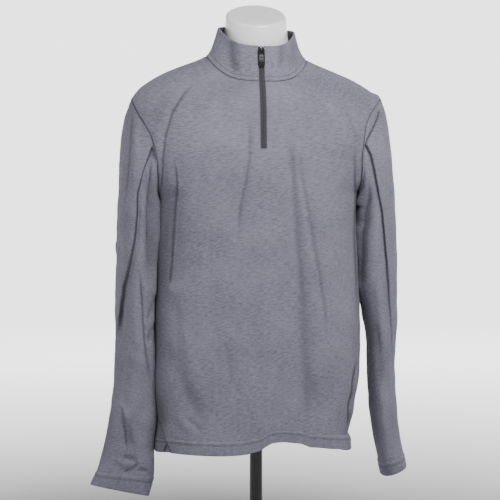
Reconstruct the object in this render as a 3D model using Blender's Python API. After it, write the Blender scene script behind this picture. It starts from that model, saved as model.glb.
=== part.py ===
"""Quarter-zip sweatshirt worn by a limbless dress form on a short stand.

The garment's front faces -Y, its wearer's right sleeve is at -X, and +Z is up. The origin is the
centre of the base's underside. The garment and the form are worked out in millimetres with the
hem at height 0, and their objects are lifted to the hem's height above the floor.

Lines of folds are given as they are seen from the front by an eye that stands VIEW_TURN degrees
to the left and VIEW_RISE degrees above: first across from the form's axis, then up from the hem.
"""

import math

import bmesh
import bpy
import numpy as np

MM = 0.001

# Driving dimensions, in millimetres
HEM_HEIGHT = 200.0
CLOTH = 1.8
COLLAR_CLOTH = 2.6
SEAM_GAP = 0.3
COLLAR_SEAM_GAP = 0.5
HEM_DEPTH = 24.0
HEM_TURN = 1.0
HEM_STEP = 1.5

ARMHOLE_UP = 578.5
ARMHOLE_RISE = 88.5
ARMHOLE_SPREAD = 37.0
ARMHOLE_GAP = 0.7

NECK_SIDE_UP = 743.0
COLLAR_RISE = 62.0

ZIP_SLOT = 12.0
ZIP_FOOT_UP = 587.0
TAPE_WIDTH = 14.0
TAPE_THICKNESS = 1.0
TAPE_TAIL = 5.0

SLIDER_WIDTH = 9.0
SLIDER_LENGTH = 13.0
SLIDER_PLATE = 1.2
SLIDER_WEB = 1.6
SLIDER_BACK_SHORTER = 3.0
BRIDGE_WIDTH = 2.6
BRIDGE_CLEAR = 1.0
BRIDGE_WIRE = 1.1
BRIDGE_ROOT = 0.8
PULL_WIDTH = 12.6
PULL_LENGTH = 32.0
PULL_THICKNESS = 1.8
PULL_CLEAR = 0.5
PULL_BAR = 0.9
PULL_CORNER = 2.6
WINDOW_WIDTH = 4.6
WINDOW_FOOT = -6.4
WINDOW_CORNER = 1.2
HOLE_DIAMETER = 3.0
HOLE_DOWN = 14.0

FORM_FOOT_UP = 32.0
NECK_CAP_UP = 822.0
NECK_CAP_TILT = 13.0

POLE_DIAMETER = 24.0
FLANGE_DIAMETER = 90.0
FLANGE_THICKNESS = 6.0
BASE_DIAMETER = 280.0
BASE_THICKNESS = 12.0
BASE_ROUND = 3.0

VIEW_TURN = 8.0
VIEW_RISE = 5.5

# Grid sizes
ARMHOLE_STEPS = 12
FRONT_COLUMNS = 10
BACK_COLUMNS = 9
FORM_COLUMNS = 28
COLLAR_COLUMNS = 29
COLLAR_RISES = (0.12, 0.35, 0.7, 0.95, 1.0)
TAPE_TOP = 0.94


class Table:
    """Rows of named columns, read smoothly against the first column."""

    def __init__(self, names, rows):
        self.names = names.split()
        self.rows = np.array(rows, float)

    def read(self, name, at):
        """Cubic reading of a column that passes through every row and never overshoots."""
        x = self.rows[:, 0]
        y = self.rows[:, self.names.index(name)]
        at = np.clip(np.asarray(at, float), x[0], x[-1])
        step = np.diff(x)
        rise = np.diff(y) / step
        slope = np.zeros(len(x))
        both = rise[:-1] * rise[1:] > 0
        slope[1:-1][both] = (2 * rise[:-1] * rise[1:])[both] / (rise[:-1] + rise[1:])[both]
        slope[0], slope[-1] = rise[0], rise[-1]
        k = np.clip(np.searchsorted(x, at, side="right") - 1, 0, len(step) - 1)
        t = (at - x[k]) / step[k]
        return (
            y[k] * (1 + 2 * t) * (1 - t) ** 2
            + y[k + 1] * t * t * (3 - 2 * t)
            + step[k] * t * (1 - t) * (slope[k] * (1 - t) - slope[k + 1] * t)
        )


# The worn body, in level rings that dip to the neckline at the front
BODY = Table(
    "up front_up back_up half_width front back square",
    [
        (0, 0, 0, 190, 124, 114, 0.07),
        (60, 60, 60, 192, 124, 113, 0.07),
        (150, 150, 150, 197, 125, 112, 0.07),
        (250, 250, 250, 197, 126, 111, 0.07),
        (350, 350, 350, 193, 127, 112, 0.07),
        (450, 450, 450, 190, 127, 116, 0.07),
        (490, 490, 490, 192, 126, 119, 0.07),
        (521, 521, 521, 212, 124, 121, 0.07),
        (545, 545, 545, 228, 122, 122, 0.07),
        (578, 578, 578, 240, 119, 123, 0.07),
        (605, 604, 605, 244, 113, 121, 0.07),
        (635, 630, 636, 243, 106, 115, 0.07),
        (655, 648, 657, 240, 101, 110, 0.07),
        (667, 659, 670, 236, 98, 106, 0.06),
        (683, 672, 687, 219, 94, 100, 0.05),
        (697, 683, 701, 198, 90, 94, 0.04),
        (709, 691, 714, 176, 87, 88, 0.03),
        (722, 699, 729, 145, 84, 78, 0.02),
        (735, 706, 743, 112, 81, 68, 0.0),
        (743, 710, 752, 95, 80, 64, 0.0),
    ],
)

# How far the form's skin lies inside the cloth's outer face
EASE = Table(
    "up side front back",
    [
        (0, 32, 20, 14),
        (120, 38, 18, 12),
        (250, 52, 28, 20),
        (350, 44, 24, 18),
        (450, 26, 9, 10),
        (521, 38, 5, 6),
        (578, 48, 7, 6),
        (620, 34, 7, 5),
        (650, 20, 6, 4),
        (667, 9, 6, 3),
        (683, 2.5, 6, 2.5),
        (743, 2.5, 6, 2.5),
    ],
)

# The heights at which the form follows the cloth's own rings
FORM_RINGS = (FORM_FOOT_UP, 80, 150, 220, 290, 360, 420, 480, 530, 578, 605, 630, 648, 660,
              670, 683, 697, 709, 722, 735)

# The form's neck, from the sloping line where it starts (0) to its tilted cap (1)
NECK_START = {"side_up": 741.0, "front_up": 722.0, "back_up": 752.0}
NECK = Table(
    "share half_width front back",
    [
        (0.00, 78, 68, 58),
        (0.20, 67, 60, 56),
        (0.45, 61, 54, 55),
        (0.70, 59.5, 53, 54),
        (0.93, 59, 53, 54),
        (0.98, 58, 52, 53),
        (1.00, 55.5, 49.5, 50.5),
    ],
)

# The collar from the neck seam (0) to its top edge (1)
COLLAR = Table(
    "rise half_width front back front_up side_up back_up",
    [
        (0.00, 95, 80, 64, 710, 743, 752),
        (0.12, 89, 77, 64, 717, 750, 757),
        (0.35, 83, 73, 63, 731, 762, 768),
        (0.70, 76, 69, 62, 753, 783, 784),
        (1.00, 72, 66, 61, 772, 797, 798),
    ],
)

# Each sleeve from its armhole to its cuff: the outer and the inner point of each slanted ring
SLEEVE_LEFT = Table(
    "along out out_up inner inner_up front back",
    [
        (0, 236, 667, 192, 490, 74, 76),
        (40, 251, 630, 196, 468, 76, 77),
        (80, 259, 590, 196, 443, 77, 78),
        (130, 264, 540, 196, 410, 76, 78),
        (200, 266, 468, 196, 360, 73, 76),
        (280, 269, 388, 199, 305, 69, 72),
        (360, 269, 310, 202, 250, 63, 66),
        (440, 268, 232, 203, 192, 55, 59),
        (520, 270, 157, 204, 130, 45, 50),
        (600, 278, 80, 203, 62, 33, 38),
        (660, 290, 16, 199, 5, 22, 26),
        (705, 303, -32, 197, -42, 15, 17),
        (735, 316, -62, 206, -86, 12, 13),
    ],
)
SLEEVE_RIGHT = Table(
    "along out out_up inner inner_up front back",
    [
        (0, 236, 667, 192, 490, 74, 76),
        (40, 250, 630, 196, 468, 76, 77),
        (80, 258, 590, 197, 443, 77, 78),
        (130, 263, 540, 198, 410, 76, 78),
        (200, 268, 468, 199, 360, 73, 76),
        (280, 270, 388, 203, 305, 69, 72),
        (360, 271, 310, 208, 250, 64, 67),
        (440, 270, 232, 213, 200, 58, 62),
        (520, 267, 157, 217, 140, 54, 58),
        (600, 269, 85, 221, 78, 50, 54),
        (660, 276, 25, 228, 20, 50, 52),
        (705, 284, -20, 238, -38, 52, 52),
        (722, 287, -36, 242, -55, 52, 53),
    ],
)

# Folds of the front, each a line of points as seen from the front, across then up
TROUGH, RIDGE, STEP = "trough", "ridge", "step"
# Each row: kind, width, depth, line
FRONT_FOLDS = [
    (TROUGH, 9, 2.0, ((-12, 640), (-11, 551), (-19, 500))),
    (TROUGH, 13, 2.5, ((56, 604), (65, 545), (73, 435), (87, 298), (91, 190))),
    (TROUGH, 13, 2.5, ((77, 574), (94, 467), (112, 376), (129, 279), (134, 190))),
    (RIDGE, 16, 3.0, ((-118, 690), (-143, 655), (-160, 620), (-172, 570), (-172, 520))),
    (STEP, 30, 9.0, ((-150, 560), (-150, 464), (-156, 395), (-164, 304), (-170, 240))),
    (RIDGE, 16, 3.0, ((-150, 250), (-120, 130), (-80, 60))),
    (TROUGH, 14, 3.0, ((-165, 190), (-130, 90), (-95, 30))),
    (RIDGE, 16, 2.5, ((130, 640), (165, 590), (180, 530))),
    (TROUGH, 14, 3.0, ((186, 180), (176, 110), (160, 40))),
]
BACK_FOLDS = [
    (TROUGH, 14, 3.0, ((-120, 560), (-100, 420), (-92, 250), (-80, 90))),
    (TROUGH, 13, 2.5, ((-40, 480), (-30, 330), (-36, 160))),
    (TROUGH, 14, 3.0, ((70, 530), (60, 380), (66, 200), (74, 60))),
    (TROUGH, 14, 3.0, ((150, 540), (132, 420), (126, 280), (140, 150))),
    (RIDGE, 16, 2.5, ((-160, 620), (-150, 540), (-160, 440))),
]
SLEEVE_LEFT_FOLDS = [
    (STEP, 24, 9.0, ((-198, 575), (-222, 484), (-226, 430), (-241, 336), (-257, 265), (-264, 200))),
    (TROUGH, 9, 4.0, ((-200, 511), (-207, 443), (-206, 395), (-200, 320))),
    (TROUGH, 8, 2.0, ((-234, 640), (-238, 560), (-246, 480))),
    (TROUGH, 9, 3.0, ((-254, 82), (-245, 0))),
    (RIDGE, 9, 2.0, ((-236, 70), (-226, 10))),
]
SLEEVE_RIGHT_FOLDS = [
    (STEP, 24, -9.0, ((206, 578), (221, 540), (241, 437), (251, 317), (257, 207), (258, 150))),
    (TROUGH, 9, 4.0, ((217, 511), (209, 452), (203, 395), (207, 330), (216, 268))),
    (TROUGH, 8, 2.0, ((244, 600), (252, 520), (256, 440))),
    (RIDGE, 9, 2.0, ((240, 120), (246, 40))),
]
HEM_WAVE_ACROSS = 68.0
HEM_WAVE_WIDTH = 42.0
HEM_WAVE_LIFT = 23.0
HEM_WAVE_REACH = 260.0


def unit(vectors):
    """Each vector at length one."""
    return vectors / np.linalg.norm(vectors, axis=-1, keepdims=True)


def ease_step(t):
    """A smooth rise from 0 to 1."""
    t = np.clip(t, 0.0, 1.0)
    return t * t * (3 - 2 * t)


def seen(points):
    """Where points appear from the front: across from the axis and up from the hem."""
    turn = math.radians(VIEW_TURN)
    rise = math.radians(VIEW_RISE)
    across = points[..., 0] * math.cos(turn) - points[..., 1] * math.sin(turn)
    away = points[..., 0] * math.sin(turn) + points[..., 1] * math.cos(turn)
    up = points[..., 2] * math.cos(rise) + away * math.sin(rise)
    return across, up


def line_distance(across, up, line):
    """Signed distance to a line of points, positive on its right going down, and the way along."""
    line = np.array(line, float)
    lengths = np.linalg.norm(np.diff(line, axis=0), axis=1)
    starts = np.concatenate([[0.0], np.cumsum(lengths)])
    nearest = np.full(across.shape, np.inf)
    signed = np.zeros(across.shape)
    along = np.zeros(across.shape)
    for k, length in enumerate(lengths):
        way = (line[k + 1] - line[k]) / length
        right = across - line[k, 0]
        over = up - line[k, 1]
        run = np.clip(right * way[0] + over * way[1], 0.0, length)
        off = np.hypot(right - run * way[0], over - run * way[1])
        side = np.where(over * way[0] - right * way[1] > 0, 1.0, -1.0)
        closer = off < nearest
        nearest = np.where(closer, off, nearest)
        signed = np.where(closer, off * side, signed)
        along = np.where(closer, (starts[k] + run) / starts[-1], along)
    return signed, along


def fold_height(across, up, folds):
    """How far all folds of a table lift the cloth at each place."""
    height = np.zeros(across.shape)
    for kind, width, depth, line in folds:
        off, along = line_distance(across, up, line)
        taper = ease_step(along * 4) * ease_step((1 - along) * 4)
        if kind == STEP:
            off = off * math.copysign(1.0, depth)
            shape = -np.where(off > 0, (1 - np.exp(-off / 4.0)) * np.exp(-off / width), 0.0)
        else:
            shape = np.exp(-((off / width) ** 2)) * (1.0 if kind == RIDGE else -1.0)
        height += abs(depth) * taper * shape
    return height


def ring_point(turn, half_width, front, back, square, side_up, front_up, back_up):
    """A point of an oval ring: turn 0 is the front centre, 90 the right side, 180 the back."""
    angle = np.radians(turn)
    bulge = 1 + square * np.sin(2 * angle) ** 2
    ahead = np.cos(angle)
    x = half_width * np.sin(angle) * bulge
    y = -np.where(ahead > 0, front, back) * ahead * bulge
    end_up = np.where(ahead > 0, front_up, back_up)
    z = side_up + (end_up - side_up) * ahead**2
    return np.stack(np.broadcast_arrays(x, y, z), axis=-1)


def body_point(turn, up):
    """The worn body's smooth outer face."""
    turn, up = np.broadcast_arrays(np.asarray(turn, float), np.asarray(up, float))
    columns = [BODY.read(name, up) for name in ("half_width", "front", "back", "square")]
    heights = [up] + [BODY.read(name, up) for name in ("front_up", "back_up")]
    return ring_point(turn, *columns, *heights)


def collar_point(turn, rise):
    """The collar's outer face, from the neck seam at rise 0 to the top edge at rise 1."""
    turn, rise = np.broadcast_arrays(np.asarray(turn, float), np.asarray(rise, float))
    columns = [COLLAR.read(name, rise) for name in ("half_width", "front", "back")]
    heights = [COLLAR.read(name, rise) for name in ("side_up", "front_up", "back_up")]
    return ring_point(turn, *columns, 0.0, *heights)


def armhole_point(turn, gap=0.0):
    """The armhole's line on the +X side: turn 0 is the shoulder's end and 90 the front."""
    angle = np.radians(turn)
    spread = ARMHOLE_SPREAD - math.degrees(gap / BODY.read("half_width", ARMHOLE_UP))
    up = ARMHOLE_UP + (ARMHOLE_RISE - gap) * np.cos(angle)
    return body_point(90.0 - spread * np.sin(angle), up)


def sleeve_point(table, turn, along):
    """A sleeve's outer face on the +X side: turn 0 is the outside of the arm and 90 the front."""
    turn, along = np.broadcast_arrays(np.asarray(turn, float), np.asarray(along, float))
    angle = np.radians(turn)

    def ring(at):
        out = np.stack([table.read("out", at), 0 * at, table.read("out_up", at)], -1)
        inner = np.stack([table.read("inner", at), 0 * at, table.read("inner_up", at)], -1)
        depth = np.where(np.sin(angle) > 0, table.read("front", at), table.read("back", at))
        centre = (out + inner) / 2
        reach = (out - inner) / 2
        bulge = 1 + 0.05 * np.sin(2 * angle) ** 2
        place = centre + reach * (np.cos(angle) * bulge)[..., None]
        place[..., 1] -= depth * np.sin(angle) * bulge
        return place

    start = armhole_point(turn, ARMHOLE_GAP)
    hold = 1 - ease_step(along / 110.0)
    return ring(along) + hold[..., None] * (start - ring(0 * along))


def faces_out(surface, u, v, du=0.4, dv=0.5):
    """The surface's normal at each place, from four close points."""
    across = surface(u + du, v) - surface(u - du, v)
    upward = surface(u, v + dv) - surface(u, v - dv)
    return unit(np.cross(across, upward))


def hem_lift(points):
    """The front hem's raised wave, fading upwards."""
    across, _ = seen(points)
    off = (across - HEM_WAVE_ACROSS) / HEM_WAVE_WIDTH
    fade = np.clip(1 - points[..., 2] / HEM_WAVE_REACH, 0.0, 1.0) ** 2
    front = ease_step(-points[..., 1] / 60.0)
    return HEM_WAVE_LIFT * np.exp(-(off**4)) * fade * front


def turned_up(height):
    """The second layer of cloth inside a hem or cuff, this far above its edge."""
    return HEM_TURN * (1 - ease_step((height - HEM_DEPTH) / HEM_STEP))


def draped_body(turn, up, drawn=0.0):
    """The body's outer face with its folds, or a face drawn inwards from it."""
    base = body_point(turn, up)
    normal = faces_out(body_point, turn, up)
    across, height = seen(base)
    ahead = np.cos(np.radians(turn))
    front = fold_height(across, height, FRONT_FOLDS) * ease_step(ahead * 3)
    back = fold_height(base[..., 0], base[..., 2], BACK_FOLDS) * ease_step(-ahead * 3)
    place = base + normal * (front + back - drawn)[..., None]
    place[..., 2] += hem_lift(base)
    return place


def draped_sleeve(table, folds, side, turn, along, drawn=0.0):
    """A sleeve's outer face with its folds on its own side, or a face drawn inwards from it."""
    base = sleeve_point(table, turn, along)
    normal = faces_out(lambda u, v: sleeve_point(table, u, v), turn, along, 1.0, 2.0)
    base[..., 0] *= side
    normal[..., 0] *= side
    across, height = seen(base)
    facing = ease_step(np.sin(np.radians(turn)) * 2)
    behind = ease_step(-np.sin(np.radians(turn)) * 2)
    settle = ease_step(along / 60.0)
    height_here = fold_height(across, height, folds) * facing
    height_here = height_here + fold_height(across + 8 * side, height - 40, folds[1:]) * behind
    return base + normal * (height_here * settle - drawn)[..., None]


def new_object(name, vertices, faces, material, lift=HEM_HEIGHT):
    """A named object from points in millimetres, faces turned outwards, lifted to its height."""
    mesh = bpy.data.meshes.new(name)
    mesh.from_pydata((np.asarray(vertices) * MM).tolist(), [], [list(map(int, f)) for f in faces])
    model = bmesh.new()
    model.from_mesh(mesh)
    loose = [v for v in model.verts if not v.link_faces]
    bmesh.ops.delete(model, geom=loose, context="VERTS")
    bmesh.ops.recalc_face_normals(model, faces=model.faces)
    bmesh.ops.triangulate(model, faces=model.faces)
    model.to_mesh(mesh)
    model.free()
    mesh.shade_smooth()
    mesh.set_sharp_from_angle(angle=math.radians(50))
    mesh.materials.append(material)
    item = bpy.data.objects.new(name, mesh)
    item.location = (0.0, 0.0, lift * MM)
    bpy.context.scene.collection.objects.link(item)
    return item


def wall(name, outer, inner, material, closed=False, kept=None):
    """A wall of cloth between two grids of points, closed along every free edge."""
    rows, columns = outer.shape[:2]
    index = np.arange(rows * columns).reshape(rows, columns)
    if closed:
        index = np.concatenate([index, index[:, :1]], axis=1)
    quads = np.stack([index[:-1, :-1], index[:-1, 1:], index[1:, 1:], index[1:, :-1]], axis=-1)
    quads = quads[kept] if kept is not None else quads.reshape(-1, 4)
    edges = np.concatenate([quads[:, [k, (k + 1) % 4]] for k in range(4)])
    known = set(map(tuple, edges.tolist()))
    rim = np.array([edge for edge in edges.tolist() if (edge[1], edge[0]) not in known])
    count = rows * columns
    sides = np.stack([rim[:, 1], rim[:, 0], rim[:, 0] + count, rim[:, 1] + count], axis=-1)
    faces = np.concatenate([quads, quads[:, ::-1] + count, sides])
    points = np.concatenate([outer.reshape(-1, 3), inner.reshape(-1, 3)])
    return new_object(name, points, faces.tolist(), material)


def finish(name, colour, roughness, metallic=0.0):
    """A Principled material in one colour."""
    material = bpy.data.materials.new(name)
    material.use_nodes = True
    shader = material.node_tree.nodes["Principled BSDF"]
    shader.inputs["Base Color"].default_value = (*colour, 1.0)
    shader.inputs["Roughness"].default_value = roughness
    shader.inputs["Metallic"].default_value = metallic
    return material


def body_heights():
    """The heights of the panels' rows: even below the armhole, then its own steps, then close."""
    below = np.linspace(HEM_DEPTH + HEM_STEP, ARMHOLE_UP - ARMHOLE_RISE, 14)[:-1]
    below = np.concatenate([[0.0, HEM_DEPTH], below])
    steps = np.arange(ARMHOLE_STEPS + 1)
    beside = ARMHOLE_UP - ARMHOLE_RISE * np.cos(np.pi * steps / ARMHOLE_STEPS)
    above = np.array([675.0, 683.0, 697.0, 709.0, 722.0, 735.0, NECK_SIDE_UP])
    return np.concatenate([below, beside, above])


def edge_turn(heights):
    """How far round from the front the front panel's edge lies at each height, in degrees."""
    off = np.clip((heights - ARMHOLE_UP) / ARMHOLE_RISE, -1.0, 1.0)
    cut = ARMHOLE_SPREAD * np.sqrt(1 - off**2)
    seam = np.degrees(SEAM_GAP / 2 / BODY.read("half_width", heights))
    return 90.0 - cut - seam


def front_heights():
    """The front's rows, with one at the zip's foot, and which one that is."""
    heights = np.sort(np.append(body_heights(), ZIP_FOOT_UP))
    return heights, int(np.searchsorted(heights, ZIP_FOOT_UP))


def turn_at(across, heights):
    """How far round the front a place lies that is this far across."""
    return np.degrees(np.arcsin(across / BODY.read("half_width", heights)))


def collar_turn_at(across, rise):
    """How far round the collar's front a place lies that is this far across."""
    return np.degrees(np.arcsin(across / COLLAR.read("half_width", rise)))


def front_panel(material):
    """The front, from hem to neck seam, with a slit down its centre for the zip."""
    heights, foot = front_heights()
    edge = edge_turn(heights)
    slot = turn_at(ZIP_SLOT / 2, heights)
    tape = turn_at(TAPE_WIDTH, heights)
    part = np.linspace(0.0, 1.0, FRONT_COLUMNS)
    half = np.column_stack([slot, tape[:, None] + (edge - tape)[:, None] * part])
    turn = np.concatenate([-half[:, ::-1], half], axis=1)
    up = np.repeat(heights[:, None], turn.shape[1], axis=1)
    kept = np.ones((len(heights) - 1, turn.shape[1] - 1), bool)
    kept[foot:, FRONT_COLUMNS] = False
    outer = draped_body(turn, up)
    inner = draped_body(turn, up, CLOTH + turned_up(up))
    return wall("body_front", outer, inner, material, kept=kept)


def back_panel(material):
    """The back, from hem to neck seam."""
    heights = body_heights()
    edge = 180.0 - edge_turn(heights)
    part = np.linspace(0.0, 1.0, 2 * BACK_COLUMNS + 1)
    turn = edge[:, None] + (360.0 - 2 * edge)[:, None] * part
    up = np.repeat(heights[:, None], turn.shape[1], axis=1)
    outer = draped_body(turn, up)
    inner = draped_body(turn, up, CLOTH + turned_up(up))
    return wall("body_back", outer, inner, material)


def sleeve(name, table, folds, side, material):
    """A sleeve, from its armhole to its cuff."""
    turn = np.arange(2 * ARMHOLE_STEPS) * 180.0 / ARMHOLE_STEPS
    length = table.rows[-1, 0]
    band = length - HEM_DEPTH
    along = np.concatenate([
        np.linspace(0, 130, 8)[:-1], np.linspace(130, band - HEM_STEP, 19), [band, length],
    ])
    turn, along = np.meshgrid(turn, along)
    outer = draped_sleeve(table, folds, side, turn, along)
    inner = draped_sleeve(table, folds, side, turn, along, CLOTH + turned_up(length - along))
    return wall(name, outer, inner, material, closed=True)


def collar(material):
    """The stand collar, open at the front for the zip."""
    rise = np.concatenate([[COLLAR_SEAM_GAP / COLLAR_RISE], COLLAR_RISES])
    slot, tape = (collar_turn_at(across, rise) for across in (ZIP_SLOT / 2, TAPE_WIDTH))
    part = np.linspace(0.0, 1.0, COLLAR_COLUMNS)
    round_back = tape[:, None] + (360.0 - 2 * tape)[:, None] * part
    turn = np.column_stack([slot, round_back, 360.0 - slot])
    rise = np.repeat(rise[:, None], turn.shape[1], axis=1)
    outer = collar_point(turn, rise)
    inner = outer - faces_out(collar_point, turn, rise, 0.4, 0.01) * COLLAR_CLOTH
    return wall("collar", outer, inner, material)


def zip_path(across, face):
    """The zip's face behind the slit, from below its foot to the collar's top."""
    rows, foot = front_heights()
    heights = np.concatenate([[ZIP_FOOT_UP - TAPE_TAIL], rows[foot:-1]])
    rises = np.concatenate([COLLAR_RISES[:-2], [TAPE_TOP]])
    low = turn_at(across, heights[:, None])
    high = collar_turn_at(across, rises[:, None])
    heights = heights[:, None] + 0 * low
    rises = rises[:, None] + 0 * high
    panel = draped_body(low, heights, CLOTH + face)
    stand = collar_point(high, rises)
    stand = stand - faces_out(collar_point, high, rises, 0.4, 0.01) * (COLLAR_CLOTH + face)
    return np.concatenate([panel, stand])


def zip_tape(name, side, material):
    """One side of the zip: a strip behind the slit's edge."""
    across = side * np.array([SEAM_GAP / 2, ZIP_SLOT / 2, TAPE_WIDTH])
    outer = zip_path(across, SEAM_GAP)
    inner = zip_path(across, SEAM_GAP + TAPE_THICKNESS)
    return wall(name, outer, inner, material)


def loops_solid(name, loops, material):
    """A solid from closed loops of equal length, capped flat at both ends."""
    loops = np.asarray(loops)
    rows, columns = loops.shape[:2]
    index = np.arange(rows * columns).reshape(rows, columns)
    index = np.concatenate([index, index[:, :1]], axis=1)
    quads = np.stack([index[:-1, :-1], index[:-1, 1:], index[1:, 1:], index[1:, :-1]], axis=-1)
    faces = quads.reshape(-1, 4).tolist()
    faces.append(list(range(columns)))
    faces.append(list(range((rows - 1) * columns, rows * columns)))
    return new_object(name, loops.reshape(-1, 3), faces, material)


def form_torso(material):
    """The limbless torso: the cloth's own rings drawn inwards, then the neck and its tilted cap."""
    turn = np.arange(FORM_COLUMNS) * 360.0 / FORM_COLUMNS
    ahead = np.cos(np.radians(turn))
    loops = []
    for up in FORM_RINGS:
        side = EASE.read("side", up)
        end = np.where(ahead > 0, EASE.read("front", up), EASE.read("back", up))
        inwards = side + (end - side) * ahead**2
        normal = faces_out(body_point, turn, np.full(turn.shape, float(up)))
        if up < ARMHOLE_UP:
            normal[:, 2] = 0.0
            normal = unit(normal)
        loops.append(body_point(turn, float(up)) - normal * inwards[:, None])
    loops[0][:, 2] = FORM_FOOT_UP
    tilt = math.tan(math.radians(NECK_CAP_TILT))
    side_up = NECK_START["side_up"]
    end_up = np.where(ahead > 0, NECK_START["front_up"], NECK_START["back_up"])
    low = side_up + (end_up - side_up) * ahead**2
    for share, half_width, front, back in NECK.rows:
        x = half_width * np.sin(np.radians(turn))
        y = -np.where(ahead > 0, front, back) * ahead
        z = low + (NECK_CAP_UP + y * tilt - low) * share
        loops.append(np.stack([x, y, z], axis=-1))
    return loops_solid("form_torso", loops, material)


def disc(name, diameter, low, high, material, round_edge=0.0, sides=48):
    """A round piece standing on its flat face, with a softened upper edge."""
    rings = [(diameter / 2, low), (diameter / 2, high - round_edge)]
    if round_edge:
        rings.append((diameter / 2 - round_edge * 0.3, high - round_edge * 0.3))
        rings.append((diameter / 2 - round_edge, high))
    angle = np.arange(sides) * 2 * np.pi / sides
    loops = [
        np.stack([r * np.cos(angle), r * np.sin(angle), 0 * angle + z], axis=-1) for r, z in rings
    ]
    item = loops_solid(name, loops, material)
    item.location.z = 0.0
    return item


def slab(name, outline, low, high, material, axis=0):
    """A flat outline pushed through from low to high along an axis, in its own frame."""
    outline = np.asarray(outline, float)
    ends = []
    for depth in (low, high):
        points = np.insert(outline, axis, depth, axis=1)
        ends.append(points)
    return loops_solid(name, ends, material)


def rounded(width, height, radius, steps=5):
    """A rounded rectangle's outline about its middle."""
    points = []
    for k, (sx, sz) in enumerate(((1, 1), (-1, 1), (-1, -1), (1, -1))):
        for step in range(steps + 1):
            angle = math.radians(90 * (k + step / steps))
            points.append((
                sx * (width / 2 - radius) + radius * math.cos(angle),
                sz * (height / 2 - radius) + radius * math.sin(angle),
            ))
    return points


def helper(item):
    """Marks an object that only shapes another."""
    item.hide_render = True
    item.display_type = "WIRE"
    return item


def boolean(item, tool, operation):
    """Joins a helper's shape to an object, or cuts it away."""
    change = item.modifiers.new(operation.title(), "BOOLEAN")
    change.object = helper(tool)
    change.operation = operation
    change.solver = "EXACT"


def place(item, spot, lean):
    """Puts a small piece on the collar's front, leaning with it."""
    item.location = (spot[0] * MM, spot[1] * MM, (spot[2] + HEM_HEIGHT) * MM)
    item.rotation_euler = (lean, 0.0, 0.0)


def zip_top():
    """The collar's outer face at the slider's top, and how far it leans back."""
    spot = collar_point(0.0, 0.985)
    below = collar_point(0.0, 0.60)
    lean = -math.atan2(spot[1] - below[1], spot[2] - below[2])
    return spot, lean


def zip_slider(material):
    """The slider: two plates joined above the tapes, with a bridge that holds the pull tab."""
    face = COLLAR_CLOTH + SEAM_GAP
    back = face + TAPE_THICKNESS
    rear = back + SEAM_GAP
    rear_foot = -SLIDER_LENGTH + SLIDER_BACK_SHORTER
    outline = [
        (SEAM_GAP, 0.0), (rear + SLIDER_PLATE, 0.0), (rear + SLIDER_PLATE, rear_foot),
        (rear, rear_foot), (rear, -SLIDER_WEB), (face - SEAM_GAP, -SLIDER_WEB),
        (face - SEAM_GAP, -SLIDER_LENGTH), (SEAM_GAP, -SLIDER_LENGTH),
    ]
    half = SLIDER_WIDTH / 2
    item = slab("zip_slider", outline, -half, half, material)
    bar = PULL_CLEAR + PULL_THICKNESS / 2
    inside = PULL_BAR + BRIDGE_CLEAR
    outside = inside + BRIDGE_WIRE
    root = BRIDGE_ROOT
    arch = [
        (root, outside), (-bar - inside * 0.6, outside), (-bar - outside, inside * 0.7),
        (-bar - outside, -inside * 0.7), (-bar - inside * 0.6, -outside), (root, -outside),
        (root, -inside), (-bar, -inside), (-bar - inside, -inside * 0.5),
        (-bar - inside, inside * 0.5), (-bar, inside), (root, inside),
    ]
    arch = [(y, z - SLIDER_LENGTH / 2) for y, z in arch]
    bridge = slab("bridge_shape", arch, -BRIDGE_WIDTH / 2, BRIDGE_WIDTH / 2, material)
    spot, lean = zip_top()
    for piece in (item, bridge):
        place(piece, spot, lean)
    boolean(item, bridge, "UNION")
    return item


def pull_axis():
    """The middle of the pull tab's bar, which it turns on."""
    spot, lean = zip_top()
    out = PULL_CLEAR + PULL_THICKNESS / 2
    down = SLIDER_LENGTH / 2
    y = spot[1] - out * math.cos(lean) + down * math.sin(lean)
    z = spot[2] - out * math.sin(lean) - down * math.cos(lean)
    return np.array([0.0, y, z]), lean


def zip_pull(material):
    """The pull tab: a bar under the bridge, a window that the bridge passes and a flat grip."""
    top = PULL_BAR
    middle = top - PULL_LENGTH / 2
    outline = [(x, z + middle) for x, z in rounded(PULL_WIDTH, PULL_LENGTH, PULL_CORNER)]
    half = PULL_THICKNESS / 2
    item = slab("zip_pull", outline, -half, half, material, axis=1)
    window_height = -PULL_BAR - WINDOW_FOOT
    window = [
        (x, z - PULL_BAR - window_height / 2)
        for x, z in rounded(WINDOW_WIDTH, window_height, WINDOW_CORNER, 3)
    ]
    radius = HOLE_DIAMETER / 2
    hole = [
        (radius * math.cos(angle), radius * math.sin(angle) - HOLE_DOWN)
        for angle in np.linspace(0, 2 * np.pi, 17)[:-1]
    ]
    axis, lean = pull_axis()
    tools = (
        slab("window_shape", window, -half - 1, half + 1, material, axis=1),
        slab("hole_shape", hole, -half - 1, half + 1, material, axis=1),
    )
    for piece in (item, *tools):
        place(piece, axis, lean)
    for tool in tools:
        boolean(item, tool, "DIFFERENCE")
    return item


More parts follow.
